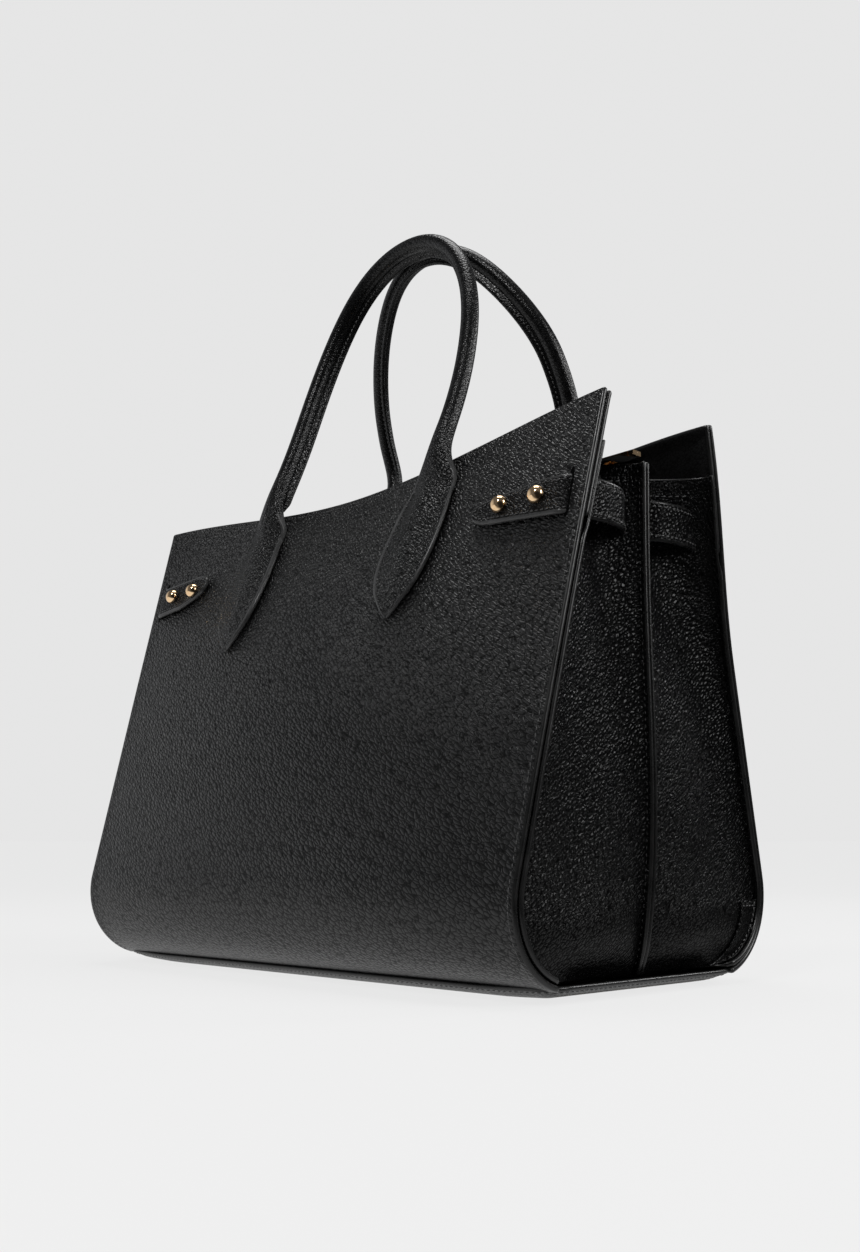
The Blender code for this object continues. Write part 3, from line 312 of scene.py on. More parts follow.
def leather(name, turn=(0, 0, 0), colour=0.003, grain=720, rough=0.33, relief=0.00026, long=0.55,
            fade=0.0, shine=0.3, shaded_crease_shine=0.5, calm=1.0):
    """Pebbled leather: long wavy cells between fine creases, broad changes of depth and tone.

    turn, in degrees, and long lay the cells along a direction. The relief weakens below the
    height fade, and above the necks to the share calm. shaded_crease_shine is the shine's share
    in the creases, where the weaker shine is painted shade.
    """
    material, tree, shader = new_material(name, (colour, colour, colour * 1.06), rough, shine)
    coords = place_nodes(tree, np.radians(turn), (long, 1, 1))
    wander = noise(tree, coords, 330, 2.0, "Color")
    centred = node(tree, "VectorMath", {0: wander, 1: (0.5, 0.5, 0.5)}, operation="SUBTRACT")
    pushed = node(tree, "VectorMath", {0: centred, "Scale": 0.0019}, operation="SCALE")
    warped = node(tree, "VectorMath", {0: coords, 1: pushed}, operation="ADD")
    cell = {"Vector": warped, "Scale": grain, "Randomness": 0.85}
    cells = node(tree, "TexVoronoi", cell, "Distance", feature="DISTANCE_TO_EDGE")
    domes = node(tree, "TexVoronoi", {**cell, "Smoothness": 0.5}, "Distance", feature="SMOOTH_F1")
    crease = remap(tree, cells, (0, 0.2), (0, 0.7), smooth=True)
    swell = remap(tree, domes, (0.1, 0.7), (1.0, 0.0))
    both = maths(tree, "ADD", crease, swell)
    pores = maths(tree, "MULTIPLY", noise(tree, coords, 3200, 2.0), 0.02)
    broad = noise(tree, coords, 20, 3.0)
    strength = remap(tree, broad, (0.3, 0.7), (0.55, 1.0))
    for used, source, target in ((fade > 0, (0.01, fade), (0.3, 1.0)),
                                 (calm < 1, (0.245, 0.3), (1.0, calm))):
        if used:
            level = node(tree, "SeparateXYZ", {"Vector": object_coords(tree)}, "Z")
            share = remap(tree, level, source, target, smooth=True)
            strength = maths(tree, "MULTIPLY", strength, share)
    # Painted shade and highlight: the colour is darker in the creases and paler on the pebble tops.
    shade = ramp(tree, both, ((0.0, colour * 0.25), (0.6, (colour, colour, colour * 1.06)),
                              (1.0, (colour * 1.35, colour * 1.35, colour * 1.45))))
    clouds = ramp(tree, broad, ((0.3, colour * 0.6), (0.75, colour * 1.5)))
    tint = node(tree, "MixRGB", {"Fac": 0.3, "Color1": shade, "Color2": clouds})
    finish(tree, shader, maths(tree, "ADD", both, pores), strength, relief, tint,
           remap(tree, both, (0, 1), (rough + 0.08, rough)))
    # Painted shade: the shine is weaker in the creases.
    fill(tree, shader, {"Specular IOR Level": remap(tree, crease, (0, 0.45),
                                                    (shine * shaded_crease_shine, shine))})
    return material


def edge_paint(name, colour):
    """Satin edge paint with faint ripples and rubbed, paler spots."""
    material, tree, shader = new_material(name, (colour,) * 3, 0.3, 0.4)
    coords = place_nodes(tree)
    worn = noise(tree, coords, 90, 5.0)
    finish(tree, shader, noise(tree, coords, 260, 3.0), 0.12, 0.0003,
           ramp(tree, worn, ((0.45, colour), (0.8, colour * 2.0))),
           remap(tree, worn, (0, 1), (0.2, 0.36)))
    return material


def thread(name):
    """Waxed thread with its twist."""
    material, tree, shader = new_material(name, (0.08, 0.08, 0.084), 0.4)
    twist = wave(tree, place_nodes(tree, (0.6, 0.4, 0.8)), 900, 1.0)
    finish(tree, shader, twist, 0.5, 0.0001, ramp(tree, twist, ((0.2, 0.032), (0.8, 0.085))))
    return material


def woven(name, dark, pale, scale):
    """Plain woven cloth: crossed threads in two directions."""
    material, tree, shader = new_material(name, (dark,) * 3, 0.8, 0.0)
    coords = place_nodes(tree, (0.02, 0.03, 0.01))
    warp, weft, weft_y = (wave(tree, coords, scale, 0.6, axis) for axis in "XZY")
    cloth = maths(tree, "MAXIMUM", warp, maths(tree, "MULTIPLY", weft, weft_y))
    finish(tree, shader, cloth, 0.6, 0.0002, ramp(tree, cloth, ((0.1, dark), (0.9, pale))))
    return material


def metal(name):
    """Polished pale gold plate with fine handling marks."""
    material, tree, shader = new_material(name, (0.88, 0.62, 0.36), 0.16)
    shader.inputs["Metallic"].default_value = 1.0
    marks = noise(tree, place_nodes(tree), 700, 4.0)
    finish(tree, shader, marks, 0.06, 0.0001,
           ramp(tree, marks, ((0.3, (0.86, 0.58, 0.33)), (0.7, (0.93, 0.68, 0.42)))),
           remap(tree, marks, (0, 1), (0.05, 0.15)))
    return material


def fibre(name, dark, pale):
    """Pressed board or twisted cord: mottled fibres."""
    material, tree, shader = new_material(name, dark, 0.9, 0.05)
    speck = noise(tree, place_nodes(tree, (0, 0, 0.3), (1, 1, 0.25)), 900, 6.0)
    finish(tree, shader, speck, 0.5, 0.0003, ramp(tree, speck, ((0.3, dark), (0.7, pale))))
    return material


SKIN = leather("black_pebbled_leather", (0, -30, 0), grain=600, relief=0.0006, long=0.44,
               fade=0.17, shine=0.37, shaded_crease_shine=0.35)
STRAP_SKIN = leather("black_pebbled_strap_leather", (0, -30, 0), relief=0.00045, long=0.44,
                     shine=0.2, shaded_crease_shine=0.2)
# The sides' leather is the same pebbled leather made darker and less shiny: painted shade.
SHADED_SIDE_SKIN = leather("black_pebbled_side_leather_painted_shade", (-40, 0, 90), grain=660, colour=0.0016,
                    relief=0.00042, rough=0.25, fade=0.06, shine=0.16, shaded_crease_shine=0.15)
ROLL_SKIN = leather("black_pebbled_handle_leather", (0, -20, 0), grain=680, rough=0.24, long=0.6,
                    relief=0.00044, shine=0.34, shaded_crease_shine=0.3, calm=0.28)
# The base's leather is darker and less shiny than the panels': painted contact shade.
SHADED_BASE_SKIN = leather("black_base_leather_painted_shade", (0, 0, 20), colour=0.0016, relief=0.00012, shine=0.12)
INNER_SKIN = leather("black_facing_leather", (0, 20, 0), grain=760, relief=0.00007, shine=0.26)
PAINT = edge_paint("black_edge_paint", 0.005)
# Grey edge paint, paler than the rims' paint: partly a painted highlight on the lit edges of straps
# and leaves.
TRIM = edge_paint("grey_edge_paint_and_painted_highlight", 0.034)
THREAD = thread("black_thread")
# Near-black raw edge round the strap slots: partly the cut edge, partly painted shade of the slot.
SHADE = fibre("black_raw_edge_and_painted_slot_shade", (0.0008,) * 3, (0.002,) * 3)
CLOTH = woven("black_lining_cloth", 0.01, 0.028, 900)
TAPE = woven("black_tape_cloth", 0.003, 0.009, 1300)
GOLD = metal("pale_gold_metal")
BOARD = fibre("grey_board_fibre", (0.2, 0.18, 0.16), (0.3, 0.27, 0.24))
CORD = fibre("pale_cord_fibre", (0.5, 0.45, 0.37), (0.66, 0.6, 0.5))


# Meshes

def add_object(name, data):
    item = bpy.data.objects.new(name, data)
    bpy.context.scene.collection.objects.link(item)
    return item


def build(name, parts, materials, nodes, body="bag", blended=None, sharp=55):
    """One object from (points, faces, material numbers) parts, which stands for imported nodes."""
    points = []
    faces = []
    looks = []
    for part_points, part_faces, part_looks in parts:
        first = len(points)
        points += [tuple(p) for p in part_points]
        faces += [tuple(first + i for i in face) for face in part_faces]
        looks += list(part_looks)
    mesh = bpy.data.meshes.new(name)
    mesh.from_pydata(points, [], faces)
    mesh.validate()
    for material in materials:
        mesh.materials.append(material)
    mesh.polygons.foreach_set("material_index", looks[:len(mesh.polygons)])
    mesh.shade_smooth()
    mesh.set_sharp_from_angle(angle=radians(sharp))
    item = add_object(name, mesh)
    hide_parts(*nodes)
    if blended:
        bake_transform(item)
    else:
        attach(item, body)


def loop_faces(rings, size):
    faces = []
    for r in range(rings - 1):
        for c in range(size):
            d = (c + 1) % size
            faces.append((r * size + c, r * size + d, (r + 1) * size + d, (r + 1) * size + c))
    return faces


def closed_faces(rings, size):
    last = (rings - 1) * size
    return loop_faces(rings, size) + [tuple(range(size))[::-1], tuple(range(last, last + size))]


def sheet(grid, half, steps=3, looks=(0, 1, 0)):
    """A leather sheet about a grid of middle points, with rounded edges.

    half is half its thickness; looks are its materials outside, at the edge and inside.
    """
    grid = np.asarray(grid, float)
    rows, cols = grid.shape[:2]
    half = np.broadcast_to(half, (rows, cols))
    normal = grid_normals(grid)
    turns = np.linspace(0, pi / 2, steps + 1)[1:]

    def rim(r, away):
        """Layers that round off the row r."""
        away = unit(away)
        return [(grid[r] + away * (half[r] * sin(a))[:, None], normal[r], half[r] * cos(a), 1)
                for a in turns]

    layers = rim(0, grid[0] - grid[1])[::-1]
    layers += [(grid[r], normal[r], half[r], 0) for r in range(rows)]
    layers += rim(-1, grid[-1] - grid[-2])
    around = np.linspace(0, pi, 2 * steps + 1)[1:-1][:, None]
    points = []
    for middle, n, h, _ in layers:
        left = unit(middle[0] - middle[1])
        right = unit(middle[-1] - middle[-2])
        h = np.maximum(h, 1e-5)
        points.append(middle + n * h[:, None])
        points.append(middle[-1] + h[-1] * (n[-1] * np.cos(around) + right * np.sin(around)))
        points.append((middle - n * h[:, None])[::-1])
        points.append(middle[0] + h[0] * (-n[0] * np.cos(around) + left * np.sin(around)))
    size = 2 * (cols + len(around))
    points = np.concatenate(points)
    outside, edge, inside = looks
    rounded = [edge] * (len(around) + 1)
    across = [outside] * (cols - 1) + rounded + [inside] * (cols - 1) + rounded
    numbers = []
    for r in range(len(layers) - 1):
        numbers += [edge] * size if layers[r][3] or layers[r + 1][3] else across
    return points, closed_faces(len(layers), size), numbers + [edge] * 2


def rings(loops, look=0):
    """Skin over closed rings of points, with both ends closed."""
    loops = [np.asarray(loop, float) for loop in loops]
    faces = closed_faces(len(loops), len(loops[0]))
    return np.concatenate(loops), faces, [look] * len(faces)


def turned_loops(profile, count):
    """Rings of points about the vertical axis from (radius, height) pairs."""
    angles = np.linspace(0, tau, count + 1)[:-1]
    return [[(r * cos(a), r * sin(a), z) for a in angles] for r, z in profile]


STITCH_SHAPE = ((-0.5, 0.15, -0.9), (-0.4, 0.8, -0.1), (-0.18, 1.0, 0.25), (0.18, 1.0, 0.25),
                (0.4, 0.8, -0.1), (0.5, 0.15, -0.9))
STITCH_SIDES = 6
THREAD_LOOK = 2


def stitches(line, normals, pitch=0.0032, length=0.0023, wide=0.0003, tall=0.00024):
    """A row of slanted thread stitches that lie on a surface along a line."""
    line = np.asarray(line, float)
    normals = np.asarray(normals, float)
    along = lengths_along(line)
    count = int(along[-1] / pitch)
    stations = (np.arange(count) + 0.5) * along[-1] / count
    step = 0.0006
    slant = 0.16
    centre = points_along(line, along, stations)
    n = unit(points_along(normals, along, stations))
    t = unit(points_along(line, along, stations + step)
             - points_along(line, along, stations - step))
    t = unit(t + slant * unit(np.cross(n, t)))
    b = unit(np.cross(n, t))
    points = []
    faces = []
    for i in range(count):
        first = len(points)
        for place, swell, lift in STITCH_SHAPE:
            middle = centre[i] + t[i] * place * length + n[i] * lift * tall
            for k in range(STITCH_SIDES):
                a = tau * k / STITCH_SIDES
                points.append(middle + swell * (b[i] * wide * cos(a)
                                                + n[i] * tall * sin(a)))
        faces += [tuple(first + j for j in face)
                  for face in closed_faces(len(STITCH_SHAPE), STITCH_SIDES)]
    return points, faces, [THREAD_LOOK] * len(faces)


# Panels and facings

def sag(side, x, z):
    """How far the leather of a panel has relaxed outwards, clear of what lies on it."""
    dip = np.exp(-((z - 0.085) / 0.045) ** 2) * np.exp(-((x + 0.02) / 0.1) ** 2)
    wave = 0.00035 * np.sin(31 * x + 1.3 * side) * np.sin(24 * z + 0.8)
    low = ease((0.165 - z) / 0.05) * ease((z - 0.012) / 0.02)
    rim = ease((half_width(z) - np.abs(x)) / 0.03)
    return (0.0011 * dip + wave) * low * rim


def panel_grid(side, near, far, foot, count_x, count_z, rim_near=0.0, rim_far=0.0):
    """Middle points and half thickness of a layer from its foot to the shaped top edge."""
    shares = np.linspace(-1, 1, count_x)
    shares = shares + 0.16 * np.sin(shares * pi)
    shares = shares / shares[-1]
    grid = []
    halves = []
    for t in np.linspace(0, 1, count_z):
        t = t - 0.06 * sin(2 * pi * t)
        low_half = (far - near) / 2 + rim_far - rim_near
        high = climb_to(top_height(shares * WING_HALF_WIDTH)) - low_half
        climb = foot + low_half + (high - foot - low_half) * t
        z = edge_profile(climb)[1]
        x = shares * (half_width(z) - low_half)
        rim = ease(1 - np.minimum((half_width(z) - np.abs(x)) / 0.009, (high - climb) / 0.007))
        rim = np.maximum(rim, ease(1 - (climb - foot) / 0.006) if foot < 0 else 0)
        a = near + rim_near * rim
        b = far + rim_far * rim
        points = behind(side, x, climb, (a + b) / 2)
        points[:, 1] += side * sag(side, x, z)
        grid.append(points)
        halves.append((b - a) / 2)
    return np.array(grid), np.array(halves)


def surface_line(side, xs, climbs):
    """Points on a panel's outer face, with the leather's sag, and the normals there."""
    line = panel_point(side, xs, climbs)
    line[:, 1] += side * sag(side, xs, edge_profile(climbs)[1])
    return line, panel_normal(side, xs, climbs)


def slit(side, end):
    """The raw dark edge round the slot that a strap passes through; its near-black colour is partly
    painted shade of the slot.
    """
    low, high = climb_to(STRAP_HEIGHT - 0.0127), climb_to(STRAP_HEIGHT + 0.0125)
    across = np.array((-1, -0.7, 0, 0.7, 1, 0.7, 0, -0.7))
    depth = -0.00022 * np.array((0, 1, 1, 1, 0, -1, -1, -1))
    loops = []
    for t in np.linspace(0, 1, 25):
        wide = 0.0014 * sqrt(max(1 - (2 * t - 1) ** 8, 0.01))
        x = end * (half_width(STRAP_HEIGHT) - SLIT_INSET) + wide * across
        loops.append(behind(side, x, low + (high - low) * t, depth))
    return rings(loops, 3)


def make_panel(place, side):
    outer, outer_half = panel_grid(side, 0.0, PANEL_BACK, -0.0022, 97, 91, -0.0002, 0.0007)
    inner, inner_half = panel_grid(side, FACING_FRONT, FACING_BACK, climb_to(FACING_FOOT), 97, 31,
                                   -0.0003, 0.0009)
    if side > 0:
        outer = outer[:, ::-1]
        inner = inner[:, ::-1]
    parts = [sheet(outer, outer_half)]
    climbs = np.linspace(0.004, climb_to(WING_HEIGHT) - 0.0045, 160)
    widths = half_width(edge_profile(climbs)[1])
    for end in (1, -1):
        parts.append(stitches(*surface_line(side, end * (widths - SEAM_INSET), climbs)))
    xs = np.linspace(-WING_HALF_WIDTH + 0.0055, WING_HALF_WIDTH - 0.0055, 160)
    parts.append(stitches(*surface_line(side, xs, climb_to(top_height(xs)) - SEAM_INSET)))
    parts += [slit(side, end) for end in (1, -1)]
    build(place + "_panel_leather", parts, (SKIN, PAINT, THREAD, SHADE), [place + "_panel"])
    parts = [sheet(inner, inner_half)]
    reach = half_width(0.215) - 0.012
    xs = np.linspace(-reach, reach, 120)
    for climb in (climb_to(FACING_FOOT) + 0.003, climb_to(top_height(xs)) - SEAM_INSET):
        line = behind(side, xs, climb, FACING_BACK)
        parts.append(stitches(line, -panel_normal(side, xs, climb)))
    build(place + "_facing_leather", parts, (INNER_SKIN, PAINT, THREAD), [place + "_facing"])


# Gussets

def gusset_grid(side, end):
    """Half a gusset: the flange behind the panel's rim, the folded wall, and the fin."""
    climbs = np.concatenate([np.linspace(0.0008, 0.03, 16),
                             np.linspace(0.032, climb_to(GUSSET_TOP) - 0.0008, 84)])
    meet = side * 0.00125
    share = np.linspace(0, 1, 25)
    arc = np.sin(pi * share)
    tuck_share = np.where(share < 0.5, arc ** 0.6, arc) * np.where(share > 0.5, 0.75, 1)
    grid = []
    halves = []
    for climb in climbs:
        z = float(edge_profile(climb)[1])
        high = ease((z - JOG_FOOT) / (JOG_TOP - JOG_FOOT))
        inset = 0.0045 + (0.006 - 0.0045) * high
        rim = behind(side, half_width(z) - 0.0011, climb, inset)
        fold = behind(side, half_width(z) - 0.005, climb, inset)
        low = float(ease(1 - climb / 0.01))
        fold[2] -= 0.0016 * low
        fold[1] -= side * 0.0036 * low
        fin = float(half_width(fold[2]) - FIN_LINE(fold[2] / WING_HEIGHT))
        depth = float(VALLEY(fold[2] / WING_HEIGHT))
        under = min(max((0.026 - fold[2]) / 0.0222, 0), 1)
        tuck = 0.0105 * (1 - sqrt(1 - under * under))
        fin -= 0.5 * tuck
        valley = depth * (1 - np.abs(2 * share - 1) ** 1.6)
        swell = 0.0034 * exp(-((fold[2] - 0.03) / 0.014) ** 2) * arc ** 0.8
        slack = 0.0012 * np.sin(3.0 * pi * share + 20 * z) * arc * ease((z - 0.03) / 0.05)
        x = fold[0] + (fin - 0.004 - fold[0]) * share - valley - tuck * tuck_share + swell + slack
        wall = np.stack([x, fold[1] + (meet - fold[1]) * share, 0 * x + fold[2]], axis=1)
        flange = rim + (fold - rim) * np.linspace(0, 1, 5)[:-1, None]
        crest = np.array([fin - 0.0008, meet, fold[2]])
        fin_flange = wall[-1] + (crest - wall[-1]) * np.linspace(0, 1, 6)[1:, None]
        path = np.concatenate([flange, wall, fin_flange])
        for _ in range(2):
            path = softened(path)
        grid.append(path * (end, 1, 1))
        thick = 0.0013 - 0.0005 * high
        half = np.full(len(path), GUSSET_HALF)
        half[:5] += (thick - GUSSET_HALF) * np.array((1, 1, 0.85, 0.5, 0.2))
        half[-5:] += 0.00032 * np.array((0.2, 0.6, 1, 1, 1))
        halves.append(half)
    grid, halves = np.array(grid), np.array(halves)
    return (grid[:, ::-1], halves[:, ::-1]) if end * side > 0 else (grid, halves)


def make_gusset(end_name, end, place, side):
    grid, halves = gusset_grid(side, end)
    parts = [sheet(grid, halves)]
    normal = grid_normals(grid)
    lifted = grid + normal * GUSSET_HALF
    size = grid.shape[1]
    fin = 3 if end * side > 0 else size - 4
    parts.append(stitches(lifted[3:-3, fin], normal[3:-3, fin]))
    top_row = -4
    wall = slice(7, size - 7)
    parts.append(stitches(lifted[top_row, wall], normal[top_row, wall]))
    build(f"{end_name}_{place}_gusset_leather", parts, (SHADED_SIDE_SKIN, PAINT, THREAD),
          [f"{end_name}_{place}_gusset"])


# Base and corner patches

def rounded_rectangle(half_x, half_y, radius, z, corner_steps=8, edge_steps=30):
    corners = []
    for k, (sx, sy) in enumerate(((1, 1), (-1, 1), (-1, -1), (1, -1))):
        angles = pi / 2 * (k + np.arange(corner_steps + 1) / corner_steps)
        corners.append(np.stack([sx * (half_x - radius) + radius * np.cos(angles),
                                 sy * (half_y - radius) + radius * np.sin(angles),
                                 z + 0 * angles], axis=1))
    steps = np.arange(1, edge_steps)[:, None]
    points = []
    for corner, ahead in zip(corners, corners[1:] + corners[:1]):
        points += [corner, corner[-1] + (ahead[0] - corner[-1]) * steps / edge_steps]
    return np.concatenate(points)


BASE_HALF_LENGTH = 0.1678
BASE_HALF_DEPTH = 0.069
BASE_CORNER = 0.012
# Inset, height and material from the inside over the bead to the underside
BASE_PROFILE = ((0.024, 0.0053, 0), (0.012, 0.0053, 0), (0.006, 0.0053, 0), (0.0036, 0.0054, 0),
                (0.0024, 0.006, 1), (0.0012, 0.0063, 1), (0.0003, 0.0059, 1), (0.0, 0.0051, 1),
                (0.0003, 0.0044, 1), (0.0011, 0.004, 0), (0.0026, 0.0035, 0), (0.0046, 0.0028, 0),
                (0.0072, 0.0018, 0), (0.0105, 0.0009, 0), (0.015, 0.0002, 0), (0.021, 0.0, 0))
BASE_SEAM = 10


def make_base():
    loops = []
    for inset, level, _ in BASE_PROFILE:
        loop = rounded_rectangle(BASE_HALF_LENGTH - 1.05 * inset, BASE_HALF_DEPTH - inset,
                                 max(BASE_CORNER - inset, 0.003), level)
        loop[:, 2] += 0.0012 * ease((np.abs(loop[:, 0]) - 0.125) / 0.042)
        loops.append(loop)
    points, faces, looks = rings(loops)
    size = len(loops[0])
    for r in range(len(BASE_PROFILE) - 1):
        if BASE_PROFILE[r][2] and BASE_PROFILE[r + 1][2]:
            looks[r * size:(r + 1) * size] = [1] * size
    line = np.concatenate([loops[BASE_SEAM], loops[BASE_SEAM][:1]])
    seam = stitches(line, np.tile(unit((0, 0, -1.0)), (len(line), 1)))
    build("base_leather", [(points, faces, looks), seam], (SHADED_BASE_SKIN, PAINT, THREAD),
          ["base_panel"])


def make_patch(place, side, end_name, end):
    """The leather over a bottom corner, from the rim on to the gusset's wall."""
    half = 0.0006
    grid, halves = gusset_grid(side, end)
    flip = end * side > 0
    wide = 6 if side < 0 else 9
    keep = slice(-wide, -1) if flip else slice(1, wide)
    patch = (grid + grid_normals(grid) * (halves + half)[..., None])[1:22, keep]
    for _ in range(6):
        patch[:, 1:-1] = 0.25 * patch[:, :-2] + 0.5 * patch[:, 1:-1] + 0.25 * patch[:, 2:]
    normal = grid_normals(patch)
    lifted = patch + half * normal
    near = -2 if flip else 1
    parts = [sheet(patch, half, 2, (0, 0, 0)),
             stitches(lifted[:, near], normal[:, near], 0.0028, 0.002)]
    if side > 0:
        parts.append(stitches(lifted[-2], normal[-2], 0.0028, 0.002))
    build(f"{place}_{end_name}_corner_leather", parts, (SHADED_SIDE_SKIN, PAINT, THREAD),
          [f"{place}_{end_name}_corner_patch"])


# Lining bag

def make_lining():
    levels = np.concatenate([[0.0057, 0.0075, 0.011, 0.017], np.linspace(0.024, 0.2436, 44)])
    loops = []
    for i, level in enumerate(levels):
        valley = (half_width(level) - FLANGE_WIDTH + half_width(level)
                  - float(FIN_LINE(level / WING_HEIGHT)) - FIN_WIDTH) / 2
        half_x = min(0.152, valley - float(VALLEY(level / WING_HEIGHT)) - 0.0055)
        ring = rounded_rectangle(half_x, SEAM_HALF_DEPTH, 0.01, level, 6, 24)
        for p in ring:
            side = 1 if p[1] > 0 else -1
            if level > CURL_TOP:
                depth = float(depth_at(side, p[0], level, LINING_INSET))
            else:
                inner = CURL_RADIUS - LINING_INSET
                drop = min(max((CURL_HEIGHT - level) / inner, 0), 0.9999)
                depth = CURL_DEPTH + inner * sqrt(1 - drop * drop)
                depth = min(depth, CURL_DEPTH + 0.0304)
            wrinkle = 0.0009 * (1 + sin(95 * p[0] + 40 * level))
            fold = wrinkle * sin(pi * i / len(levels))
            p[1] = p[1] / SEAM_HALF_DEPTH * (depth - fold)
        loops.append(ring)
    inner_loops = [loop - unit(loop * (1, 1, 0)) * 0.0006 for loop in loops]
    foot = inner_loops[0] + (0, 0, 0.0007)
    build("lining_cloth", [rings(loops + inner_loops[:0:-1] + [foot])], (CLOTH,), ["lining"],
          sharp=70)


# Zip

def tape_level(x, y):
    """Height of the zip tape, which falls away from the teeth and at its ends."""
    across = np.clip((y - 0.0044) / 0.01, 0, 1)
    return ZIP_HEIGHT - 0.005 * across ** 0.8 - 0.0035 * ease((np.abs(x) - 0.158) / 0.0135)


def make_zip(place, side):
    near, far = 0.0034, 0.0144
    xs = np.linspace(-0.1715, 0.1715, 120)
    ys = np.linspace(near, far, 7)
    grid = np.array([[(x, side * y, tape_level(x, y)) for y in ys] for x in xs])
    if side < 0:
        grid = grid[:, ::-1]
    build(place + "_zip_tape_cloth", [sheet(grid[::-1], 0.00024, 1, (0, 0, 0))], (TAPE,),
          [place + "_zip_tape"])
    half = 0.0005
    xs = np.linspace(-0.1474, 0.1474, 90)
    foot = depth_at(side, xs, ZIP_HEIGHT - 0.007, ZIP_FACING_INSET)
    profile = []
    for t in np.linspace(0, 1, 16):
        y = foot + (0.0085 - foot) * t
        z = tape_level(xs, y) + 0.0009 - 0.003 * (1 - ease(t * 2.2))
        profile.append(np.stack([xs, side * y, z], axis=1))
    grid = np.array(profile)
    if side > 0:
        grid = grid[:, ::-1]
    normal = grid_normals(grid)
    up = 1 if normal[8, 40][2] > 0 else -1
    seam = stitches(grid[-2] + up * half * normal[-2], normal[-2] * up, 0.003, 0.0021)
    build(place + "_zip_facing_leather", [sheet(grid, half, 2), seam], (INNER_SKIN, PAINT, THREAD),
          [place + "_zip_facing"])


# Side straps

# Inset from the rim and share of the panel's depth, from behind a slit to the middle of the side
STRAP_ROUTE = ((0.0098, 0.94), (0.0083, 0.787), (0.0071, 0.633), (0.0074, 0.461), (0.0096, 0.288),
               (0.0134, 0.173), (0.0158, 0.077), (0.0164, 0.0))
SLIT_SHARE = 1.046
TIP_LENGTH = 0.015


def strap_half(side, reach):
    """Centre points, upward directions and stations from a tab's point to the side's middle."""
    climb = climb_to(STRAP_HEIGHT)
    edge = half_width(STRAP_HEIGHT)
    panel = float(edge_profile(climb)[0])
    lying = behind(side, edge - reach + (reach - TAB_ROOT) * np.arange(27) / 26, climb, STRAP_LAY)
    plan = [(p[0], p[1]) for p in lying]
    plan += [(edge - 0.0127, plan[-1][1] - side * 0.0007),
             (edge - 0.0109, plan[-1][1] - side * 0.0028)]
    plan += [(edge - i, side * panel * s) for i, s in STRAP_ROUTE]
    plan = np.array(plan)
    along = lengths_along(plan)
    fine = np.linspace(0, along[-1], 500)
    smooth = np.stack([spline(np.stack([along, values], axis=1))(fine) for values in plan.T],
                      axis=1)
    along = lengths_along(smooth)
    tip = TIP_LENGTH * np.linspace(0, 1, 16) ** 1.6
    stations = np.concatenate([tip, np.linspace(TIP_LENGTH, along[-1], 90)[1:]])
    x, y = points_along(smooth, along, stations).T
    lean = unit(behind(side, x, climb + 0.01, STRAP_LAY) - behind(side, x, climb - 0.01, STRAP_LAY))
    upright = ease((panel * SLIT_SHARE - np.abs(y)) / 0.016)[:, None]
    up = unit(lean * (1 - upright) + np.array((0, 0, 1.0)) * upright)
    lift = TAB_TILT * (reach - 0.036 - np.minimum(stations, reach - TAB_ROOT))
    centre = np.stack([x, y, 0 * x + lying[0][2]], axis=1) + up * lift[:, None]
    return centre, up, stations


def make_strap(end_name, end):
    """One belt, from the front tab through both slits to the rear tab."""
    front = strap_half(-1, TAB_REACH[end])
    back = strap_half(1, TAB_REACH[end])
    centre, up, station = (np.concatenate([a, b[-2::-1]]) for a, b in zip(front, back))
    centre = centre * (end, 1, 1)
    up = up * (end, 1, 1)
    edge = 0.0011
    half = STRAP_WIDTH / 2
    reach = np.minimum(station, station[::-1])
    blunt = half * (0.4 + 0.6 * np.sqrt(1 - (1 - np.minimum(reach / 0.011, 1)) ** 2)) - edge
    start, taper, power = (-0.05, 0.043, 0.6) if end > 0 else (0.0, 0.022, 0.45)
    slim = half * (start + (1 - start) * np.minimum(reach / taper, 1) ** power) - edge
    blunt = np.maximum(blunt, 0.0005 - slim)
    above, below = (slim, blunt) if end > 0 else (blunt, slim)
    columns = np.concatenate([[-1], np.linspace(-0.94, 0.94, 11), [1]])
    if end < 0:
        columns = columns[::-1]
    place = (above - below)[:, None] / 2 + (above + below)[:, None] / 2 * columns
    grid = (centre[:, None] + up[:, None] * place[..., None])[2:-2]
    points, faces, looks = sheet(grid[::-1], STRAP_THICKNESS / 2)
    ring_count = len(grid) + 6
    size = len(points) // ring_count
    depth = np.abs(points.reshape(ring_count, size, 3)[:, :, 1]).mean(axis=1)
    between = depth < 0.9 * float(edge_profile(climb_to(STRAP_HEIGHT))[0])
    # On the bag's sides the strap takes the sides' darker leather and the dark edge paint: painted
    # shade.
    shaded_skin, shaded_paint = 3, 4
    for r in range(ring_count - 1):
        first = r * size
        if between[r]:
            looks[first:first + size] = [shaded_paint if look else shaded_skin
                                         for look in looks[first:first + size]]
        else:
            # On the tabs the outer columns of the face take the pale grey paint: a painted
            # highlight along the edges.
            looks[first] = looks[first + len(columns) - 2] = 1
    parts = [(points, faces, looks)]
    centre, up, above, below = (values[2:-2] for values in (centre, up, above, below))
    normal = grid_normals(grid[::-1])[::-1, len(columns) // 2]
    outside = np.where(np.sum(normal * (centre * (1, 1, 0)), axis=1) > 0, 1.0, -1.0)
    normal = normal * outside[:, None]
    for height in (above - 0.0016, 0.0016 - below):
        line = centre + up * height[:, None]
        parts.append(stitches(line + normal * (STRAP_THICKNESS / 2), normal, 0.003, 0.0021))
    build(end_name + "_strap_leather", parts, (STRAP_SKIN, TRIM, THREAD, SHADED_SIDE_SKIN, PAINT),
          [end_name + "_side_strap"])


# Studs

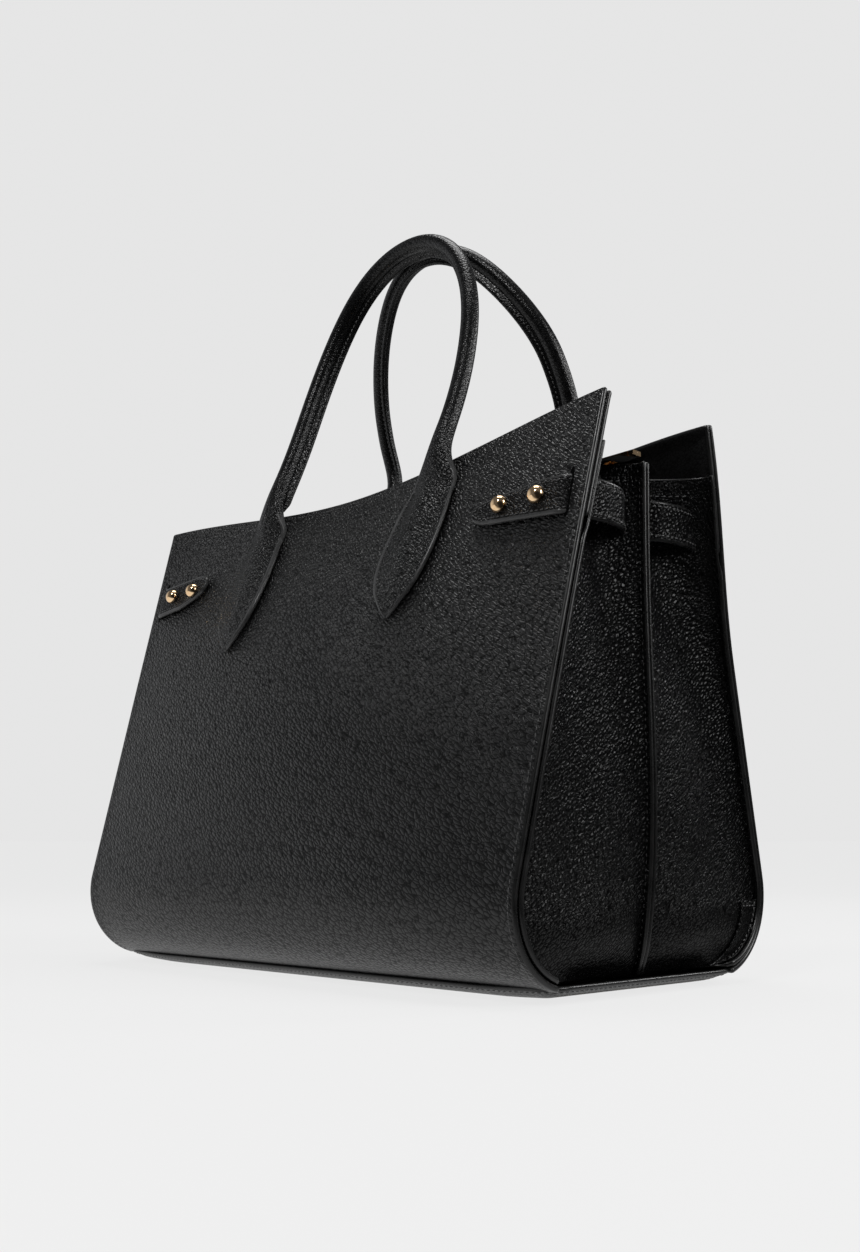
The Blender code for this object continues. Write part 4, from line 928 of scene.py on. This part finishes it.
def make_stud(place, side, end_name, end, which, inset):
    climb = climb_to(STRAP_HEIGHT)
    x = end * (half_width(STRAP_HEIGHT) - inset)
    normal = panel_normal(side, x, climb)
    point = panel_point(side, x, climb)
    foot = 0.0034
    brow = foot + 0.0048
    shank_end = -0.0062
    profile = [(0.0001, brow)]
    for a in np.linspace(0, radians(92), 18)[1:]:
        profile.append((0.0045 * sin(a), brow - 0.0042 * (1 - cos(a))))
    profile += [(0.0042, foot + 0.0003), (0.0032, foot + 0.0002), (0.0028, foot),
                (0.0014, foot - 0.0001), (0.0014, shank_end), (0.0001, shank_end)]
    points, faces, looks = rings(turned_loops(reversed(profile), 36))
    turn = Vector((0, 0, 1)).rotation_difference(Vector(normal)).to_matrix()
    points = points @ np.array(turn).T + point
    name = f"{place}_{end_name}_{which}_stud"
    build(name + "_dome", [(points, faces, looks)], (GOLD,), [name], sharp=40)


# Handles with their leaves, one skin from leaf to leaf

# Distance below the hinge, half width and height of the roll
LEAF_SHAPE = ((0.0915, 0.0008, 0.0012), (0.087, 0.0055, 0.002), (0.079, 0.012, 0.0026),
              (0.067, 0.0172, 0.0032), (0.053, 0.019, 0.0037), (0.038, 0.0187, 0.0042),
              (0.024, 0.0172, 0.0048), (0.014, 0.015, 0.0052))
NECK_SHAPE = ((0.0095, 0.0127, 0.0056), (0.0053, 0.009, 0.006))
ROLL_RISE = (0.0, 0.0, 0.0003, 0.0006, 0.001, 0.0014, 0.0018, 0.002, 0.002, 0.002)
LEAF_FOOT = HINGE_HEIGHT - LEAF_SHAPE[0][0]
EDGE_ANGLES = np.radians(np.linspace(-25, 25, 7))
TOP_ANGLES = np.radians(np.linspace(25, 155, 21))[1:-1]
FOOT_ANGLES = np.radians(np.linspace(205, 335, 21))[1:-1]
RING_ANGLES = np.concatenate([EDGE_ANGLES, TOP_ANGLES, EDGE_ANGLES + pi, FOOT_ANGLES])


def leaf_profile(half, crown):
    """A leaf's section: (across, out from the panel), with a rounded painted edge and a roll."""
    edge = min(0.0024, crown, 1.2 * half)
    bulb = np.linspace(-pi / 2, pi / 2, 7)
    side = np.stack([half - edge / 2 + edge / 2 * np.cos(bulb), edge / 2 + edge / 2 * np.sin(bulb)],
                    axis=1)
    across = np.linspace(1, -1, 21)[1:-1]
    rise = np.cos(pi / 2 * np.clip(np.abs(across) / 0.8, 0, 1)) ** 1.3
    top = np.stack([(half - edge / 2) * across, edge + (crown - edge) * rise], axis=1)
    other = side[::-1] * (-1, 1)
    foot = np.stack([(half - edge / 2) * across[::-1], np.zeros(19)], axis=1)
    return np.concatenate([side, top, other, foot])


def leaf_middle(z):
    return ARCH_HALF_SPAN - 0.0032 * (1 - ease((z - LEAF_FOOT) / (LEAF_TOP - LEAF_FOOT)))


def neck_share(z):
    """How far the skin has left the panel for the tube at a height."""
    return float(ease((z - HINGE_HEIGHT + 0.029) / 0.0237))


def leaf_rings(side, end, hinge):
    drops, halves, crowns = np.array(LEAF_SHAPE + NECK_SHAPE).T
    heights = HINGE_HEIGHT - drops
    crowns = crowns + np.array(ROLL_RISE)
    wide = spline(np.stack([heights, halves], axis=1))
    loops = []
    for z in np.concatenate([[LEAF_FOOT], LEAF_FOOT + 0.0012 * np.array([0.3, 0.7, 1.3, 2.2]),
                             np.linspace(LEAF_FOOT + 0.004, LEAF_TOP, 62)]):
        half = float(np.interp(z, heights, halves) if z < heights[2] else wide(z))
        crown = float(np.interp(z, heights, crowns))
        middle = leaf_middle(z)
        neck = neck_share(z)
        flat = leaf_profile(half, crown)
        x = end * (middle + flat[:, 0])
        on_leaf = behind(side, x, climb_to(z), -LEAF_LIFT - flat[:, 1])
        round_x = end * (middle + half * np.cos(RING_ANGLES))
        on_neck = np.stack([round_x, hinge[1] + side * HANDLE_RADIUS * np.sin(RING_ANGLES),
                            z + 0 * round_x], axis=1)
        ring = on_leaf * (1 - neck) + on_neck * neck
        floor = depth_at(side, ring[:, 0], ring[:, 2], -LEAF_LIFT)
        ring[:, 1] = side * np.maximum(side * ring[:, 1], floor)
        loops.append(ring)
    return loops


def arch(side, count):
    """A handle's centre line, with its directions into the arch and towards the bag's middle."""
    start = 0.006 / ARCH_RISE
    leaf_depth = float(depth_at(side, ARCH_HALF_SPAN, LEAF_TOP, -LEAF_LIFT))
    hinge_depth = leaf_depth + HANDLE_RADIUS
    sway = spline([(0.25 * i, side * (hinge_depth - lean)) for i, lean in enumerate(SWAY[side])])
    angle = np.linspace(0, pi, 1200)
    rise = np.sin(angle).clip(0) ** 0.59
    angle, rise = angle[rise >= start], rise[rise >= start]
    x = ARCH_HALF_SPAN * np.sign(np.cos(angle)) * np.abs(np.cos(angle)) ** 0.97
    if side > 0:
        x = x + 0.0078 * np.sign(x) * ease(rise / 0.46) * ease((0.92 - rise) / 0.4)
    back = side * 0.0058 * np.exp(-((rise - 0.28) / 0.13) ** 2) * (side > 0)
    fine = np.stack([x, sway(rise) + back, ARCH_FOOT + ARCH_RISE * rise], axis=1)
    ends = np.array([(ARCH_HALF_SPAN, float(sway(start)), HINGE_HEIGHT)])
    fine = np.concatenate([ends, fine, ends * (-1, 1, 1)])
    along = lengths_along(fine)
    line = points_along(fine, along, np.linspace(0, along[-1], count))
    for _ in range(3):
        line = softened(line)
    way = unit(np.gradient(line, axis=0))
    way[0], way[-1] = (0, 0, 1), (0, 0, -1)
    towards = np.array((0, -side, 0.0))
    depth = unit(towards - way * (way @ towards)[:, None])
    inward = np.cross(depth, way) * side
    return line, inward, depth


def leaf_seam(side, end, rim):
    """Stitches along one edge of a leaf, up to where its neck leaves the panel."""
    drops, halves, _ = np.array(LEAF_SHAPE).T
    heights = HINGE_HEIGHT - drops
    line = []
    normals = []
    for z in np.linspace(heights[1], heights[-1] - 0.001, 90):
        neck = neck_share(z)
        if neck > 0.35:
            break
        half = max(float(np.interp(z, heights, halves)) - 0.0027, 0.0)
        x = end * (float(leaf_middle(z)) + rim * half)
        line.append(behind(side, x, climb_to(z), -0.0025 - 0.001 * neck))
        normals.append(panel_normal(side, x, climb_to(z)))
    return stitches(line, normals, 0.0028, 0.002)


def seam_flange(side, line, inward, depth):
    """The stitched flange where the cover's edges meet under the roll."""
    turn = 1.0 if side < 0 else 0.5
    edge = unit(inward + turn * depth)
    across = unit(depth - turn * inward)
    first, last = 1, len(line) - 2
    rows = []
    for i in range(first, last + 1):
        growth = float(ease((min(i - first, last - i) + 1.0) / 4.0))
        reach = np.linspace(0.0036, HANDLE_RADIUS + 0.0004 + 0.0028 * growth, 9)
        rows.append(line[i] + edge[i] * reach[:, None])
    rows = np.array(rows)
    if side > 0:
        rows = rows[:, ::-1]
    half = 0.0013
    parts = [sheet(rows, half, 3, (0, 0, 0))]
    sewn = slice(first + 5, last - 4)
    for out in (across[sewn], -across[sewn]):
        parts.append(stitches(line[sewn] + edge[sewn] * 0.0064 + out * half, out,
                              0.003, 0.0021, 0.00038, 0.0003))
    return parts


def make_handle(place, side, body):
    line, inward, depth = arch(side, 190)

    def tube(i, flare, radius, angles):
        return line[i] - radius * (flare * inward[i] * np.cos(angles)[:, None]
                                   + depth[i] * np.sin(angles)[:, None])

    count = len(line)
    hinge = line[0]
    right = leaf_rings(side, 1, hinge)
    left = leaf_rings(side, -1, hinge)
    flares = [1 + 0.34 * float(ease(1 - min(i, count - 1 - i) / 11.0)) for i in range(count)]
    tubes = [tube(i, flare, HANDLE_RADIUS, RING_ANGLES) for i, flare in enumerate(flares)]
    skin = np.array(right + tubes + left[::-1])
    number = np.arange(len(skin))
    place_along = np.minimum(number, len(skin) - 1 - number)
    blend = ease(1 - np.abs(place_along - len(right) - 2) / 13)[:, None, None]
    for _ in range(24):
        skin += blend * (softened(skin) - skin)
    line = skin[len(right):len(right) + count].mean(axis=1)
    points, faces, looks = rings(skin)
    size = len(RING_ANGLES)
    # The leaf edges take the pale grey paint, which is partly a painted highlight.
    painted = [*range(0, 6), *range(25, 32)]
    for r in range(len(skin) - 1):
        if min(r, len(skin) - 2 - r) < 65:
            for c in painted:
                looks[r * size + c] = 1
    cord_angles = np.linspace(0, tau, 17)[:-1]
    cord = rings([tube(i, 1, 0.003, cord_angles) for i in range(count)])
    if side > 0:
        faces = [face[::-1] for face in faces]
        cord = (cord[0], [face[::-1] for face in cord[1]], cord[2])
    parts = [(points, faces, looks)] + seam_flange(side, line, inward, depth)
    parts += [leaf_seam(side, end, rim) for end in (1, -1) for rim in (1, -1)]
    build(place + "_handle_cord", [cord], (CORD,), [place + "_handle_core"], body)
    nodes = [place + "_handle_cover"] + [f"{place}_{e}_handle_leaf" for e in ENDS]
    build(place + "_handle_leather", parts, (ROLL_SKIN, TRIM, THREAD), nodes, body,
          blended=((0, hinge[1], 0.2575), (0, hinge[1], 0.2745)), sharp=60)


for place, side in SIDES.items():
    make_panel(place, side)
    make_zip(place, side)
    make_handle(place, side, place + "_handle")
    for end_name, end in ENDS.items():
        make_gusset(end_name, end, place, side)
        make_patch(place, side, end_name, end)
        for which, inset in (("inner", 0.0494), ("outer", 0.0266)):
            make_stud(place, side, end_name, end, which, inset)
for end_name, end in ENDS.items():
    make_strap(end_name, end)
make_base()
make_lining()

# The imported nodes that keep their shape
for name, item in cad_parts.items():
    if any(part in name for part in ("zip_teeth", "zip_stop", "zip_slider", "puller", "washer")):
        look = GOLD
    elif "stiffener" in name or name == "base_board":
        look = BOARD
    else:
        continue
    for material_slot in item.material_slots:
        material_slot.material = look
    item.data.shade_smooth()
    item.data.set_sharp_from_angle(angle=radians(35))


# Floor, lights and camera

def glossy_level(tree):
    """How bright the leather sees the floor, by place: dimmer to the left, ahead and beside."""
    coords = object_coords(tree)
    near = remap(tree, dot(tree, coords, (-0.8, -0.6, 0.0)), (-0.25, 0.25), (0.34, 1.0), True)
    far = remap(tree, dot(tree, coords, (0.93, -0.37, 0.0)), (0.12, 0.36), (1.0, 0.12), True)
    under = remap(tree, dot(tree, coords, (0.97, 0.26, 0.0)), (0.12, 0.28), (1.0, 0.25), True)
    reach = node(tree, "VectorMath", {0: coords}, "Value", operation="LENGTH")
    close = remap(tree, reach, (0.25, 0.42), (1.0, 0.0), True)
    low = maths(tree, "MULTIPLY", maths(tree, "MAXIMUM", near, close), under)
    return maths(tree, "MULTIPLY", low, far)


def make_floor():
    """A disc with a raised rim that takes the shadow and is otherwise as pale as the wall."""
    material, tree, shader = new_material("pale_floor", (0.8, 0.8, 0.8), 0.8)
    glossy = node(tree, "LightPath", {}, "Is Glossy Ray")
    seen = maths(tree, "MAXIMUM", node(tree, "LightPath", {}, "Is Camera Ray"), glossy)
    dim = remap(tree, glossy, (0, 1), (1.0, glossy_level(tree)))
    pale = node(tree, "Emission", {"Color": (0.885, 0.885, 0.885, 1), "Strength": dim})
    mottled = ramp(tree, noise(tree, place_nodes(tree), 3.0, 2.0), ((0.3, 0.74), (0.7, 0.76)))
    tone = node(tree, "VectorMath", {0: mottled, "Scale": dim}, operation="SCALE")
    fill(tree, shader, {"Base Color": tone})
    mix = node(tree, "MixShader", {0: maths(tree, "MULTIPLY", seen, 0.87),
                                   1: shader.outputs[0], 2: pale})
    fill(tree, tree.nodes["Material Output"], {"Surface": mix})
    profile = ((0.5, 0.0), (1.2, 0.0), (1.8, 0.0), (2.2, 0.01), (2.6, 0.042), (2.9, 0.088),
               (3.05, 0.118))
    count = 96
    loops = turned_loops(profile, count)
    faces = [face[::-1] for face in loop_faces(len(loops), count)] + [tuple(range(count))]
    mesh = bpy.data.meshes.new("floor")
    mesh.from_pydata([p for loop in loops for p in loop], [], faces)
    mesh.materials.append(material)
    mesh.shade_smooth()
    floor = add_object("floor", mesh)


def area_light(name, place, target, size, power):
    data = bpy.data.lights.new(name, "AREA")
    data.size = size
    data.energy = power
    lamp = add_object(name, data)
    lamp.location = place
    lamp.rotation_euler = (Vector(target) - Vector(place)).to_track_quat("-Z", "Y").to_euler()


def make_world():
    """A pale wall for the camera; for the light, bright to the left and dark behind the camera."""
    world = bpy.data.worlds.new("studio")
    bpy.context.scene.world = world
    world.use_nodes = True
    tree = world.node_tree
    tree.nodes.clear()
    wall = node(tree, "Background", {"Color": (0.79, 0.79, 0.79, 1), "Strength": 1.0})
    direction = node(tree, "TexCoord", {}, "Generated")
    level = remap(tree, dot(tree, direction, (-0.95, -0.31, 0.0)), (0.66, 1.0), (0.13, 0.76))
    dark = remap(tree, dot(tree, direction, (0.72, -0.66, -0.15)), (0.68, 0.86), (1.0, 0.12), True)
    light = node(tree, "Background",
                 {"Color": (0.97, 0.98, 1.0, 1), "Strength": maths(tree, "MULTIPLY", level, dark)})
    mix = node(tree, "MixShader", {0: node(tree, "LightPath", {}, "Is Camera Ray"),
                                   1: light, 2: wall})
    fill(tree, tree.nodes.new("ShaderNodeOutputWorld"), {"Surface": mix})


make_floor()
make_world()
for name, place, aim, size, power in (
        ("key", (1.75, 0.45, 1.05), 0.15, 0.9, 21), ("rear", (0.8, 1.7, 1.2), 0.15, 0.5, 7),
        ("front", (0.62, -1.55, 1.7), 0.15, 0.4, 13.5), ("top", (-0.2, 0.3, 2.5), 0.1, 1.2, 22)):
    area_light(name, place, (0, 0, aim), size, power)

camera_data = bpy.data.cameras.new("camera")
camera_data.sensor_width = 36
camera_data.lens = 35.19
camera_data.clip_start = 0.01
camera = add_object("camera", camera_data)
camera.location = (0.5051, -0.4644, 0.0574)
camera.rotation_euler = (radians(90 + 10.96), 0, radians(45.99))
bpy.context.scene.camera = camera
bpy.context.scene.view_settings.view_transform = "Standard"
